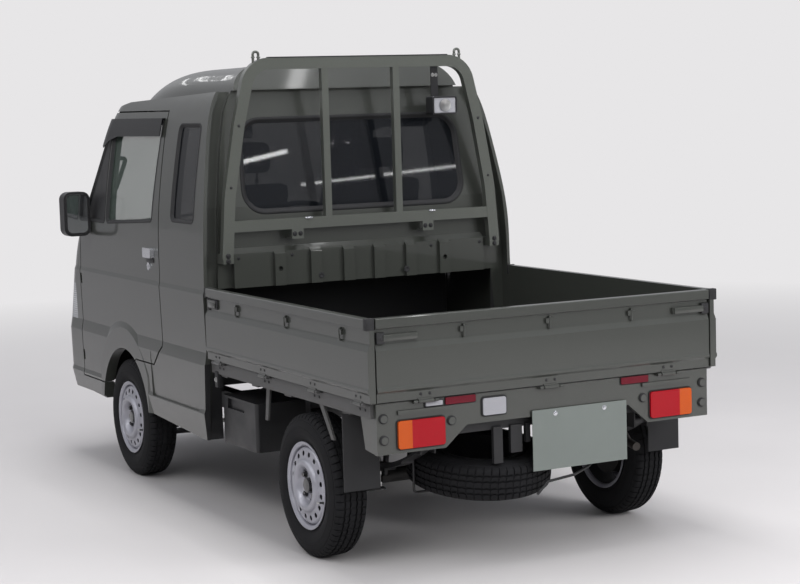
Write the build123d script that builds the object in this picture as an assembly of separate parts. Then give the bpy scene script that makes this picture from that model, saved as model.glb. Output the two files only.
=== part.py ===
from build123d import *
import math
import os

# Kei truck with an extended, raised cab and a drop-side bed.
# Millimetres: +X forwards, +Y to the truck's left, +Z up, ground at z = 0, origin at the box's bottom centre.

# Driving dimensions
LENGTH = 3395.0
WIDTH = 1475.0
WHEELBASE = 1900.0
FRONT_OVERHANG = 910.0
TRACK = 1300.0

TYRE_R = 268.0
TYRE_W = 145.0
TYRE_SHOULDER = 26.0
BEAD_R = 152.0
FLANGE_R = 166.5
RIM_W = 118.0
RIM_WALL = 4.0
HUB_FACE = 40.0
VENT_COUNT = 14
VENT_R = 8.5
VENT_CIRCLE_R = 128.0

CAB_WALL = 45.0
CAB_ROOF_T = 27.0
REAR_WALL_T = 33.0
REAR_FLANGE = 28.0
FLANGE_T = 14.0
CHANNEL_W = 61.0
CHANNEL_DEPTH = 20.0
GLASS_T = 5.0
GLASS_INSET = 10.0
BELT_LEVEL = 926.0

ARCH_X = 785.0
ARCH_Z = 285.0
ARCH_R = 303.0
CREASE_LOW_Z = 616.0
CREASE_TOP_Z = 668.0
FLARE_TOP_Z = 714.0
FLARE_FRONT_X = 1142.0
FLARE_REAR_X = 452.0
FLARE_SIDE_Z = 500.0
FLARE_SLOPE = 30.0
RECESS_X = (-130.0, 435.0)
RECESS_Z = 416.0
DOOR_GAP = 6.0
DOOR_EDGE_GAP = 7.5
DOOR_FRONT_X = 1371.0
DOOR_REAR_X = 297.0
DOOR_TOP_Z = 1655.0
DOOR_FRONT_BOTTOM_Z = 402.0
DOOR_REAR_BOTTOM_Z = 558.0
DOOR_PILLAR_Z = 1165.0
PILLAR_SLOPE = 0.60
DOOR_HINGE_X = 1356.0
DOOR_HINGE_Y = 725.0
DOOR_HINGES_Z = (500.0, 870.0)

DECK_Z = 612.0
FOOTWELL_Z = 432.0
SHELF_Z = 955.0
FLOOR_T = 12.0
FLOOR_HALF = 672.0
WHEELHOUSE_IN = 400.0
WHEELHOUSE_FRONT = 1122.0
WHEELHOUSE_REAR = 440.0
TUNNEL_X = 273.0
TUNNEL_HALF = 640.0

BED_Z = 650.0
BED_FLOOR_T = 25.0
BED_FRONT_X = -222.0
BED_HALF = 705.0
SILL_OUT = 712.0
GATE_T = 28.0
GATE_BOTTOM_Z = 647.0
GATE_TOP_Z = 938.0
GATE_REAR_X = -1690.0
TAILGATE_SIDE_GAP = 6.0
GATE_HINGE_DROP = 8.0
HINGE_R = 6.0
HINGE_PIN_R = 3.0
PIN_CLEARANCE = 0.4

FRAME_IN = 325.0
FRAME_OUT = 385.0
FRAME_TOP_Z = 580.0
FRAME_H = 80.0
FRAME_FRONT_TOP_Z = 400.0
FRAME_REAR_X = -1640.0

KINGPIN_Y = 535.0
STEER_ARM = 100.0
AXLE_TUBE_R = 28.0
DIFF_Y = -150.0
DIFF_R = 92.0
LEAF_IN = 430.0
LEAF_OUT = 480.0

REAR_PANEL_X = -1674.0
REAR_PANEL_T = 18.0
REAR_PANEL_HALF = 698.0
REAR_PANEL_BOTTOM_Z = 463.0
LAMP_Y = 527.0
LAMP_W = 184.0
AMBER_W = 54.0
PLATE_Y = -124.0
REAR_PANEL_TOP_Z = 641.0

GUARD_X = -229.0
GUARD_TUBE_W = 48.0
GUARD_TUBE_D = 30.0
GUARD_TOP_Z = 1840.0
GUARD_FOOT_Z = 1050.0
GUARD_RAIL_Z = 1180.0

FIT = 0.3

# Worked out from the driving dimensions
FRONT_AXLE_X = LENGTH / 2 - FRONT_OVERHANG
REAR_AXLE_X = FRONT_AXLE_X - WHEELBASE
HUB_Z = TYRE_R
WHEEL_Y = TRACK / 2
HALF_WIDTH = WIDTH / 2
NOSE_X = LENGTH / 2
GATE_OUT = BED_HALF + GATE_T
GATE_HINGE_Y = HALF_WIDTH - HINGE_R
GATE_HINGE_Z = GATE_BOTTOM_Z - GATE_HINGE_DROP
TAIL_HINGE_X = -LENGTH / 2 + HINGE_R + 1.5
TAILGATE_HALF = BED_HALF - TAILGATE_SIDE_GAP


def save(name, *shapes):
    solids = []
    for shape in shapes:
        solids += list(shape.solids())
    body = solids[0] if len(solids) == 1 else Compound(children=solids)
    export_step(body, os.path.join("parts", name + ".step"))


def block(x, y, z):
    """Box between the pairs x, y and z."""
    size = Box(x[1] - x[0], y[1] - y[0], z[1] - z[0])
    return Pos((x[0] + x[1]) / 2, (y[0] + y[1]) / 2, (z[0] + z[1]) / 2) * size


def polygon_face(points):
    return Face(Wire.make_polygon([Vector(*p) for p in points], close=True))


def prism_y(outline, y0, y1):
    """Outline of (x, z) points carried from y0 to y1."""
    face = polygon_face([(x, y0, z) for x, z in outline])
    return extrude(face, amount=y1 - y0, dir=(0, 1, 0))


def prism_x(outline, x0, x1):
    """Outline of (y, z) points carried from x0 to x1."""
    face = polygon_face([(x0, y, z) for y, z in outline])
    return extrude(face, amount=x1 - x0, dir=(1, 0, 0))


def prism_z(outline, z0, z1):
    """Outline of (x, y) points carried from z0 to z1."""
    face = polygon_face([(x, y, z0) for x, y in outline])
    return extrude(face, amount=z1 - z0, dir=(0, 0, 1))


def rounded_prism_x(outline, radius, x0, x1):
    """As prism_x, with every corner rounded."""
    shape = prism_x(outline, x0, x1)
    return fillet(shape.edges().filter_by(Axis.X), radius)


def rounded_prism_y(outline, radius, y0, y1):
    shape = prism_y(outline, y0, y1)
    return fillet(shape.edges().filter_by(Axis.Y), radius)


def rod(start, end, radius):
    """Round bar from one point to another."""
    a = Vector(*start)
    b = Vector(*end)
    span = b - a
    return Plane(origin=a, z_dir=span) * Cylinder(
        radius, span.length, align=(Align.CENTER, Align.CENTER, Align.MIN)
    )


def bent_rod(points, bend, radius):
    """Round bar along straight runs joined by arcs of one bend radius."""
    path = FilletPolyline(*points, radius=bend)
    start = Plane(origin=path @ 0, z_dir=path % 0)
    return sweep(start * Circle(radius), path=path)


def mirrored(shape):
    """The same piece on the other side of the truck."""
    return mirror(shape, about=Plane.XZ)


# Cab form

# Each row is one level of the cab: height, half width, nose x at the centre, corner radius, front radius,
# x of the rear flange's end
LOWER_LEVELS = (
    (298.0, 722.0, 1655.0, 100.0, 3500.0, -210.0),
    (412.0, HALF_WIDTH - 0.5, NOSE_X, 105.0, 3500.0, -210.0),
    (430.0, 732.0, NOSE_X, 105.0, 3500.0, -210.0),
    (CREASE_LOW_Z, 737.0, NOSE_X, 110.0, 3500.0, -210.0),
    (CREASE_TOP_Z, 728.5, 1695.0, 110.0, 3500.0, -210.0),
    (908.0, 734.0, 1672.0, 180.0, 2600.0, -210.0),
    (BELT_LEVEL, 729.0, 1668.0, 180.0, 2500.0, -210.0),
)
UPPER_LEVELS = (
    (BELT_LEVEL, 729.0, 1668.0, 180.0, 2500.0, -210.0),
    (1060.0, 726.0, 1618.0, 190.0, 2400.0, -210.0),
    (1257.0, 713.0, 1485.0, 210.0, 2200.0, -200.0),
    (1500.0, 677.0, 1335.0, 220.0, 2000.0, -161.0),
    (1650.0, 644.0, 1240.0, 220.0, 1900.0, -135.0),
    (1735.0, 602.0, 1130.0, 210.0, 1800.0, -117.0),
)
# Each row is one station of the raised roof: x, base half width and height, shoulder y and z, ridge y and z, crown z
ROOF_STATIONS = (
    (-160.0, 552.0, 1640.0, 528.0, 1739.0, 415.0, 1842.0, 1856.0),
    (310.0, 552.0, 1632.0, 528.0, 1726.0, 415.0, 1831.0, 1845.0),
    (780.0, 545.0, 1612.0, 518.0, 1712.0, 406.0, 1800.0, 1815.0),
    (1212.0, 500.0, 1556.0, 470.0, 1620.0, 350.0, 1646.0, 1661.0),
)
# Side view of the ledge beside the raised roof, (x, z) from the rear
LEDGE_LINE = ((-400.0, 1741.0), (-80.0, 1730.0), (860.0, 1702.0), (1180.0, 1658.0), (1400.0, 1607.0))
# Side view of the raised roof's rear end, (x, z)
ROOF_REAR_LINE = ((-117.0, 1735.0), (-66.0, 1838.0))


def level_wire(level, inset):
    """Plan outline of the cab at one level: straight sides, tangent corner arcs and one long front arc."""
    z, half, nose, corner_r, front_r, rear = level
    half -= inset
    nose -= inset
    corner_r -= inset
    front_r -= inset
    front_c = nose - front_r
    corner_y = half - corner_r
    corner_x = front_c + math.sqrt((front_r - corner_r) ** 2 - corner_y**2)
    reach = front_r / (front_r - corner_r)
    end_x = front_c + (corner_x - front_c) * reach
    end_y = corner_y * reach
    mid = (math.pi / 2 + math.atan2(corner_y, corner_x - front_c)) / 2
    mid_x = corner_x + corner_r * math.cos(mid)
    mid_y = corner_y + corner_r * math.sin(mid)
    rear_x = rear + (inset + REAR_FLANGE + REAR_WALL_T - CAB_WALL if inset else 0.0)
    edges = [
        Edge.make_line((rear_x, half, z), (corner_x, half, z)),
        Edge.make_three_point_arc((corner_x, half, z), (mid_x, mid_y, z), (end_x, end_y, z)),
        Edge.make_three_point_arc((end_x, end_y, z), (nose, 0, z), (end_x, -end_y, z)),
        Edge.make_three_point_arc((end_x, -end_y, z), (mid_x, -mid_y, z), (corner_x, -half, z)),
        Edge.make_line((corner_x, -half, z), (rear_x, -half, z)),
        Edge.make_line((rear_x, -half, z), (rear_x, half, z)),
    ]
    return Face(Wire(edges))


def roof_wire(station, inset):
    """Cross-section of the raised roof: flank, rounded ridge, crowned top."""
    x, base, base_z, shoulder, shoulder_z, ridge, ridge_z, crown_z = station
    base -= inset
    shoulder -= inset
    ridge -= inset * 0.6
    ridge_z -= inset
    crown_z -= inset
    bend_y = (shoulder + ridge) / 2 + 0.16 * (ridge_z - shoulder_z)
    bend_z = (shoulder_z + ridge_z) / 2 + 0.16 * (shoulder - ridge)
    edges = [
        Edge.make_line((x, -base, base_z), (x, base, base_z)),
        Edge.make_line((x, base, base_z), (x, shoulder, shoulder_z)),
        Edge.make_three_point_arc((x, shoulder, shoulder_z), (x, bend_y, bend_z), (x, ridge, ridge_z)),
        Edge.make_three_point_arc((x, ridge, ridge_z), (x, 0, crown_z), (x, -ridge, ridge_z)),
        Edge.make_three_point_arc((x, -ridge, ridge_z), (x, -bend_y, bend_z), (x, -shoulder, shoulder_z)),
        Edge.make_line((x, -shoulder, shoulder_z), (x, -base, base_z)),
    ]
    return Face(Wire(edges))


def cab_form(inset, roof_inset=None):
    """The cab's whole outer form, or the same form moved in by an inset."""
    roof_inset = inset if roof_inset is None else roof_inset
    lower = loft([level_wire(level, inset) for level in LOWER_LEVELS], ruled=True)
    upper = loft([level_wire(level, inset) for level in UPPER_LEVELS])
    roof = loft([roof_wire(station, roof_inset) for station in ROOF_STATIONS])
    ledge = [(x, z - roof_inset) for x, z in LEDGE_LINE]
    above = prism_y(ledge + [(ledge[-1][0], 2000.0), (ledge[0][0], 2000.0)], -900.0, 900.0)
    (x0, z0), (x1, z1) = ROOF_REAR_LINE
    shift = REAR_FLANGE + REAR_WALL_T if inset else 0.0
    lean = (x1 - x0) / (z1 - z0)
    behind = prism_y(
        [
            (x0 + shift - lean * 400.0, z0 - 400.0),
            (x0 + shift + lean * 300.0, z0 + 300.0),
            (-900.0, z0 + 300.0),
            (-900.0, z0 - 400.0),
        ],
        -900.0,
        900.0,
    )
    return (lower + upper - above) + (roof - behind)


def rear_band(levels, margin, x_shift):
    """Space behind the cab inside its side walls, by rectangles from level to level."""
    sections = []
    for z, half, _, _, _, rear in levels:
        y = half - margin
        x = rear + x_shift
        points = [(-500.0, -y, z), (x, -y, z), (x, y, z), (-500.0, y, z)]
        sections.append(polygon_face(points))
    return loft(sections, ruled=True)


def door_outline(grow, edge):
    """Side view of the door, (x, z), grown by the shut gap above and below and by edge ahead and behind."""
    slope_x = (DOOR_TOP_Z - DOOR_PILLAR_Z) * PILLAR_SLOPE
    return [
        (DOOR_REAR_X + 38.0 - edge * 1.27, DOOR_TOP_Z + grow),
        (DOOR_FRONT_X - slope_x + edge, DOOR_TOP_Z + grow),
        (DOOR_FRONT_X + edge, DOOR_PILLAR_Z + grow),
        (DOOR_FRONT_X + edge, DOOR_FRONT_BOTTOM_Z - grow),
        (ARCH_X + 200.0, DOOR_FRONT_BOTTOM_Z - grow),
        (ARCH_X, ARCH_Z + 150.0 - grow * 1.3),
        (ARCH_X - 160.0 - grow * 0.4, DOOR_REAR_BOTTOM_Z - grow),
        (DOOR_REAR_X + 109.0 - edge, DOOR_REAR_BOTTOM_Z - grow),
        (DOOR_REAR_X - edge, DOOR_REAR_BOTTOM_Z + 90.0 - grow),
        (DOOR_REAR_X + 3.0 - edge, 850.0),
    ]


def flare_section(y, inset):
    """Side view of the wheel arch's flare at one distance out, inset along its slope."""
    rear, front = FLARE_REAR_X + inset, FLARE_FRONT_X - inset
    side_z = FLARE_SIDE_Z - inset * 0.4
    middle = (rear + front) / 2
    edges = [
        Edge.make_line((front, y, 330.0), (rear, y, 330.0)),
        Edge.make_line((rear, y, 330.0), (rear, y, side_z)),
        Edge.make_three_point_arc((rear, y, side_z), (middle, y, FLARE_TOP_Z - inset), (front, y, side_z)),
        Edge.make_line((front, y, side_z), (front, y, 330.0)),
    ]
    return Face(Wire(edges))


def make_flare():
    """Flare round the left front wheel arch, sloping up from the body to a flat lip."""
    lip_y = HALF_WIDTH - 0.3
    return loft([flare_section(712.0, 0.0), flare_section(728.0, 0.0), flare_section(lip_y, FLARE_SLOPE)], ruled=True)


def make_side_recess():
    """Shallow recess in the left side behind the wheel arch, deepest at its bottom ledge."""
    depth = prism_x([(726.0, RECESS_Z), (760.0, RECESS_Z), (760.0, 612.0), (736.0, 612.0)], *RECESS_X)
    outline = [(RECESS_X[0], RECESS_Z), (RECESS_X[1], RECESS_Z), (RECESS_X[1], 640.0), (RECESS_X[0], 640.0)]
    return depth & rounded_prism_y(outline, 16.0, 700.0, 800.0)


def door_hinge_space(z):
    """Room in the door round one hinge's arms, open to the front edge."""
    x, y = DOOR_HINGE_X, DOOR_HINGE_Y
    room = rod((x, y, z - 24.0), (x, y, z + 24.0), HINGE_R + 4.0)
    room += block((x, DOOR_FRONT_X + 5.0), (y - HINGE_R - 4.0, HALF_WIDTH + 5.0), (z - 24.0, z + 24.0))
    return room


def door_hinge_knuckle(z):
    """Knuckle of the door, closing its hinge space in the middle."""
    x, y = DOOR_HINGE_X, DOOR_HINGE_Y
    barrel = rod((x, y, z - 12.0), (x, y, z + 12.0), HINGE_R)
    leaf = block((x - 14.0, x), (y - HINGE_R, y + 2.0), (z - 12.0, z + 12.0))
    return barrel + leaf


def door_hinge_arms(z):
    """Pin with its two arms, reaching back from the edge of the body ahead of the door."""
    x, y = DOOR_HINGE_X, DOOR_HINGE_Y
    piece = rod((x, y, z - 18.0), (x, y, z + 18.0), HINGE_PIN_R)
    for z0, z1 in ((z - 19.0, z - 13.0), (z + 13.0, z + 19.0)):
        piece += rod((x, y, z0), (x, y, z1), HINGE_R - 0.5)
        piece += block((x, DOOR_FRONT_X + DOOR_EDGE_GAP + 4.0), (y - HINGE_R + 0.5, y + HINGE_R - 2.5), (z0, z1))
    return piece


def door_window(side_of_bar):
    """Side view of one pane's opening in the door, behind or ahead of its dividing bar."""
    top = 1612.0
    sill = 1152.0
    front_top = DOOR_FRONT_X - 54.0 - (top - DOOR_PILLAR_Z) * PILLAR_SLOPE
    front_low = DOOR_FRONT_X - 58.0
    if side_of_bar == "rear":
        return [(398.0, sill + 30.0), (368.0, top), (990.0, top), (990.0, sill)]
    return [(1014.0, sill), (1014.0, top), (front_top, top), (front_low, sill)]


def quarter_outline():
    return [(-95.0, 1195.0), (165.0, 1195.0), (165.0, 1600.0), (-80.0, 1600.0)]


def screen_outline():
    return [(-620.0, 1078.0), (620.0, 1078.0), (545.0, 1628.0), (-545.0, 1628.0)]


def rear_window_outline():
    return [(-520.0, 1231.0), (520.0, 1231.0), (508.0, 1612.0), (-508.0, 1612.0)]


SCREEN_CORNER = 55.0
QUARTER_CORNER = 28.0
REAR_WINDOW_CORNER = 92.0
DOOR_WINDOW_CORNER = 22.0


def screen_prism():
    return rounded_prism_x(screen_outline(), SCREEN_CORNER, 950.0, 1900.0)


def rear_window_prism():
    return rounded_prism_x(rear_window_outline(), REAR_WINDOW_CORNER, -500.0, 0.0)


def quarter_prism():
    return rounded_prism_y(quarter_outline(), QUARTER_CORNER, 500.0, 900.0)


def door_window_prism(side_of_bar):
    return rounded_prism_y(door_window(side_of_bar), DOOR_WINDOW_CORNER, 450.0, 900.0)


LAMP_OUTLINE = [(462.0, 690.0), (462.0, 800.0), (800.0, 850.0), (800.0, 660.0)]
LAMP_CORNER = 14.0
LAMP_REAR_X = 1452.0
GRILLE_HALF = 440.0
GRILLE_Z = (716.0, 792.0)
INTAKE_HALF = 400.0
INTAKE_Z = (420.0, 512.0)


def slots(half, span, count):
    """Level slots that leave bars between them, for a grille or an air intake."""
    pitch = (span[1] - span[0]) / count
    gap = pitch * 0.55
    cuts = [
        block((1400.0, 1900.0), (-half, half), (span[0] + pitch * (i + 0.5) - gap / 2, span[0] + pitch * (i + 0.5) + gap / 2))
        for i in range(count)
    ]
    return Compound(children=[c for cut in cuts for c in cut.solids()])


def make_cab():
    """Shell of the cab, split where the real panels meet."""
    flare = make_flare()
    outer = cab_form(0.0) + flare + mirrored(flare)
    inner = cab_form(CAB_WALL, CAB_ROOF_T)
    open_bottom = block((-60.0, 1500.0), (-640.0, 640.0), (200.0, 500.0))
    shell = outer - inner - open_bottom

    # the rear wall stands in from the side flanges, with a channel beside each
    levels = [LOWER_LEVELS[0]] + list(UPPER_LEVELS)
    wall_space = rear_band(levels, FLANGE_T, REAR_FLANGE)
    channel = rear_band(levels, FLANGE_T, REAR_FLANGE + CHANNEL_DEPTH)
    middle = rear_band(levels, FLANGE_T + CHANNEL_W, REAR_FLANGE + 120.0)
    shell = shell - wall_space - (channel - middle)

    # wheel arches, sloping sill bottoms and the rear lower corner
    arch = Pos(ARCH_X, 0, ARCH_Z) * Rot(90, 0, 0) * Cylinder(ARCH_R, 2000.0)
    below = prism_y([(461.0, 331.0), (-168.0, 299.0), (-500.0, 285.0), (-500.0, 200.0), (461.0, 200.0)], -900.0, 900.0)
    corner = prism_y([(-300.0, 200.0), (-168.0, 299.0), (-206.0, 620.0), (-300.0, 640.0)], -900.0, 900.0)
    nose_below = prism_y([(900.0, 200.0), (900.0, 312.0), (1280.0, 330.0), (1900.0, 330.0), (1900.0, 200.0)], -900.0, 900.0)
    sill_gap = block((461.0, 640.0), (-900.0, 900.0), (200.0, 331.0))
    shell = shell - arch - below - corner - nose_below - sill_gap
    recess = make_side_recess()
    shell = shell - recess - mirrored(recess)

    # windows
    screen = screen_prism()
    quarter = quarter_prism()
    rear_window = rear_window_prism()
    shell = shell - screen - quarter - mirrored(quarter) - rear_window
    for side_of_bar in ("rear", "front"):
        pane = door_window_prism(side_of_bar)
        shell = shell - pane - mirrored(pane)

    # doors
    door_space = prism_y(door_outline(DOOR_GAP, DOOR_EDGE_GAP), 450.0, 900.0)
    door_blank = prism_y(door_outline(0.0, 0.0), 450.0, 900.0)
    door = shell & door_blank
    # the door's rear edge is stepped on the inside, so that its inner corner swings clear
    step = prism_y(
        [(200.0, 500.0), (DOOR_REAR_X + 8.0, 500.0), (DOOR_REAR_X + 11.0, 850.0), (DOOR_REAR_X + 46.0, DOOR_TOP_Z),
         (DOOR_REAR_X + 46.0, 1700.0), (200.0, 1700.0)],
        450.0,
        900.0,
    )
    door = door - (step & cab_form(14.0))
    for z in DOOR_HINGES_Z:
        bore = rod((DOOR_HINGE_X, DOOR_HINGE_Y, z - 30.0), (DOOR_HINGE_X, DOOR_HINGE_Y, z + 30.0),
                   HINGE_PIN_R + PIN_CLEARANCE)
        door = door - door_hinge_space(z) + (door_hinge_knuckle(z) - bore)
    body = shell - door_space - mirrored(door_space)

    roof_space = prism_y(
        [(-400.0, 1735.0), (-30.0, 1735.0), (60.0, 1640.0), (1050.0, 1640.0), (1150.0, 1640.0), (1500.0, 1640.0),
         (1500.0, 2000.0), (-400.0, 2000.0)],
        -556.0,
        556.0,
    )
    wall_region = middle & block((-600.0, 100.0), (-800.0, 800.0), (SHELF_Z - 30.0, 1735.0))
    nose_region = block((DOOR_FRONT_X + DOOR_GAP, 1900.0), (-900.0, 900.0), (560.0, 1066.0))
    bumper_region = block((DOOR_FRONT_X + DOOR_GAP, 1900.0), (-900.0, 900.0), (200.0, 560.0)) + block(
        (ARCH_X + 200.0, 1900.0), (-900.0, 900.0), (200.0, DOOR_FRONT_BOTTOM_Z)
    )
    low_middle = middle & block((-600.0, 100.0), (-800.0, 800.0), (200.0, SHELF_Z - 30.0))

    lamp = rounded_prism_x(LAMP_OUTLINE, LAMP_CORNER, LAMP_REAR_X, 1900.0)
    lamps_space = lamp + mirrored(lamp)
    grille_space = block((1400.0, 1900.0), (-GRILLE_HALF, GRILLE_HALF), GRILLE_Z)

    roof = body & roof_space
    rear_wall = (body - roof_space) & wall_region
    whole_nose = body & nose_region
    nose = whole_nose - lamps_space - grille_space
    arms = door_hinge_arms(DOOR_HINGES_Z[1])
    nose += arms + mirrored(arms)
    lamps = whole_nose & lamps_space
    grille = (whole_nose & grille_space) - slots(GRILLE_HALF - 20.0, GRILLE_Z, 3)
    bumper = (body & bumper_region) - slots(INTAKE_HALF - 20.0, INTAKE_Z, 3)
    arms = door_hinge_arms(DOOR_HINGES_Z[0])
    bumper += arms + mirrored(arms)
    sides = body - roof_space - middle - nose_region - bumper_region
    left_half = block((-900.0, 1900.0), (0.0, 900.0), (0.0, 2100.0))
    side_left = sides & left_half
    return {
        "roof": roof,
        "rear_wall": rear_wall,
        "nose": nose,
        "lamps": lamps,
        "grille": grille,
        "bumper": bumper,
        "side": side_left,
        "door": door,
    }


def make_glass():
    """Panes that follow the cab's form and fill their openings edge to edge."""
    skin = cab_form(GLASS_INSET) - cab_form(GLASS_INSET + GLASS_T)
    screen = skin & screen_prism()
    quarter = skin & quarter_prism()
    door = (skin & door_window_prism("rear")) + (skin & door_window_prism("front"))
    rear_levels = list(UPPER_LEVELS)
    glass_x = REAR_FLANGE + GLASS_INSET
    pane = rear_band(rear_levels, 100.0, glass_x + GLASS_T) - rear_band(rear_levels, 60.0, glass_x)
    rear = pane & rear_window_prism()
    return {"screen": screen, "quarter": quarter, "door": door, "rear": rear}


# Road wheels, made about the origin with the outer face towards +Y


def make_tyre():
    half_bead = RIM_W / 2 - 0.5
    wide = TYRE_W / 2
    bead = BEAD_R + 0.0
    tread = TYRE_R
    right = [
        Edge.make_line((bead, -half_bead, 0), (bead, half_bead, 0)),
        Edge.make_line((bead, half_bead, 0), (FLANGE_R + 2.0, half_bead + 1.0, 0)),
        Edge.make_three_point_arc(
            (FLANGE_R + 2.0, half_bead + 1.0, 0), (212.0, wide, 0), (tread - TYRE_SHOULDER, wide - 8.0, 0)
        ),
        Edge.make_three_point_arc(
            (tread - TYRE_SHOULDER, wide - 8.0, 0), (tread - 9.0, wide - 15.0, 0), (tread - 2.5, wide - 27.0, 0)
        ),
        Edge.make_three_point_arc((tread - 2.5, wide - 27.0, 0), (tread, 0, 0), (tread - 2.5, 27.0 - wide, 0)),
        Edge.make_three_point_arc(
            (tread - 2.5, 27.0 - wide, 0), (tread - 9.0, 15.0 - wide, 0), (tread - TYRE_SHOULDER, 8.0 - wide, 0)
        ),
        Edge.make_three_point_arc(
            (tread - TYRE_SHOULDER, 8.0 - wide, 0), (212.0, -wide, 0), (FLANGE_R + 2.0, -half_bead - 1.0, 0)
        ),
        Edge.make_line((FLANGE_R + 2.0, -half_bead - 1.0, 0), (bead, -half_bead, 0)),
    ]
    return revolve(Face(Wire(right)), Axis.Y)


def make_rim():
    """Pressed steel wheel: barrel with turned flanges, vented disc, raised ring and closed hub."""
    half = RIM_W / 2
    out = BEAD_R - FIT
    wall = RIM_WALL
    barrel = [
        (out, -half),
        (FLANGE_R - 3.0, -half - 1.0),
        (FLANGE_R, -half - 2.0),
        (FLANGE_R, -half - 5.0),
        (FLANGE_R - 5.0, -half - 6.0),
        (out - wall, -half - 3.0),
        (out - wall, half + 3.0),
        (FLANGE_R - 5.0, half + 6.0),
        (FLANGE_R, half + 5.0),
        (FLANGE_R, half + 2.0),
        (FLANGE_R - 3.0, half + 1.0),
        (out, half),
    ]
    disc = [
        (out - wall, 30.0),
        (142.0, 42.0),
        (118.0, 47.0),
        (104.0, 56.0),
        (92.0, 61.0),
        (78.0, 58.0),
        (66.0, 46.0),
        (58.0, HUB_FACE),
        (28.0, HUB_FACE),
        (25.0, HUB_FACE + 16.0),
        (0.0, HUB_FACE + 17.0),
        (0.0, HUB_FACE - wall),
        (60.0, HUB_FACE - wall),
        (69.0, 42.0),
        (80.0, 53.5),
        (91.0, 56.5),
        (102.0, 52.0),
        (116.0, 43.0),
        (139.0, 38.0),
        (out - wall, 25.0),
    ]
    ring = revolve(polygon_face([(r, y, 0) for r, y in barrel]), Axis.Y)
    web = revolve(polygon_face([(r, y, 0) for r, y in disc]), Axis.Y)
    rim = ring + web
    for i in range(VENT_COUNT):
        turn = Rot(0, 360.0 * i / VENT_COUNT, 0)
        rim -= turn * Pos(VENT_CIRCLE_R, 44.0, 0) * Rot(90, 0, 0) * Cylinder(VENT_R, 40.0)
    return rim


def at_wheel(shape, x):
    return Pos(x, WHEEL_Y, HUB_Z) * shape


def drum(reach):
    """Brake drum and hub boss inside a wheel, from the carrier at y = reach to the wheel's hub face."""
    inner = HUB_FACE - RIM_WALL - FIT
    body = Rot(-90, 0, 0) * Cylinder(105.0, 64.0, align=(Align.CENTER, Align.CENTER, Align.MIN))
    boss = Rot(-90, 0, 0) * Cylinder(56.0, inner + 40.0, align=(Align.CENTER, Align.CENTER, Align.MIN))
    stub = Rot(-90, 0, 0) * Cylinder(40.0, -reach, align=(Align.CENTER, Align.CENTER, Align.MIN))
    return Pos(0, -40.0, 0) * body + Pos(0, -40.0, 0) * boss + Pos(0, reach, 0) * stub


# Front suspension and steering


def make_knuckle():
    """Upright at the kingpin with its drum, stub and steering arm."""
    x = FRONT_AXLE_X
    y = KINGPIN_Y
    post = rod((x, y, 190.0 + FIT), (x, y, 420.0), 20.0)
    web = block((x - 30.0, x + 30.0), (y, y + 60.0), (220.0, 316.0))
    drums = at_wheel(drum(y + 40.0 - WHEEL_Y), x)
    arm = block((x - STEER_ARM, x), (y - 12.0, y + 12.0), (222.0, 238.0))
    eye = rod((x - STEER_ARM, y, 218.0), (x - STEER_ARM, y, 242.0), 14.0)
    return post + web + drums + arm + eye


STRUT_TOP_Z = DECK_Z - FLOOR_T


def make_front_suspension():
    """Strut with its boot and spring seat above each kingpin, and the lower arm below it."""
    x = FRONT_AXLE_X
    y = KINGPIN_Y
    profile = [(0.0, 420.0 + FIT), (32.0, 420.0 + FIT), (32.0, 428.0), (24.0, 432.0)]
    turns = 6
    low, high = 436.0, STRUT_TOP_Z - 14.0
    pitch = (high - low) / turns
    for i in range(turns):
        profile.append((26.0, low + pitch * i))
        profile.append((35.0, low + pitch * (i + 0.5)))
    profile += [(26.0, high), (36.0, high + 4.0), (36.0, STRUT_TOP_Z), (0.0, STRUT_TOP_Z)]
    strut = Pos(x, y, 0) * revolve(polygon_face([(r, 0, z) for r, z in profile]), Axis.Z)
    boss = rod((x, y, 168.0), (x, y, 190.0), 24.0)
    arm = prism_z([(x - 22.0, y), (x + 22.0, y), (x + 60.0, FRAME_IN + 6.0), (x - 60.0, FRAME_IN + 6.0)], 172.0, 188.0)
    hanger = block((x - 60.0, x + 60.0), (FRAME_IN, FRAME_IN + 14.0), (172.0, FRAME_FRONT_TOP_Z - FRAME_H))
    lower = boss + arm + hanger
    return strut, lower


RACK_X = FRONT_AXLE_X - STEER_ARM - 32.0
RACK_Z = 230.0
RACK_R = 9.0
RACK_HALF = 505.0


def make_rack_bar():
    bar = rod((RACK_X, -RACK_HALF, RACK_Z), (RACK_X, RACK_HALF, RACK_Z), RACK_R)
    ends = [rod((RACK_X, s * (RACK_HALF - 12.0), RACK_Z), (RACK_X, s * (RACK_HALF + 10.0), RACK_Z), 12.0) for s in (-1, 1)]
    return bar + ends[0] + ends[1]


def make_rack_housing():
    bore = RACK_R + 0.5
    tube = rod((RACK_X, -190.0, RACK_Z), (RACK_X, 190.0, RACK_Z), 24.0)
    for y in (-140.0, 140.0):
        tube += block((RACK_X - 20.0, RACK_X + 20.0), (y - 20.0, y + 20.0), (RACK_Z, FRAME_FRONT_TOP_Z - FRAME_H))
    return tube - rod((RACK_X, -300.0, RACK_Z), (RACK_X, 300.0, RACK_Z), bore)


WHEEL_CENTRE = (1000.0, -330.0, 1105.0)
COLUMN_LEAN = 26.0
STEERING_WHEEL_R = 180.0


def column_place():
    """Plane at the steering wheel's centre whose z runs down the column, away from the driver."""
    lean = math.radians(COLUMN_LEAN)
    down = Vector(math.sin(lean), 0, -math.cos(lean))
    return Plane(origin=WHEEL_CENTRE, x_dir=(math.cos(lean), 0, math.sin(lean)), z_dir=down)


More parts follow.
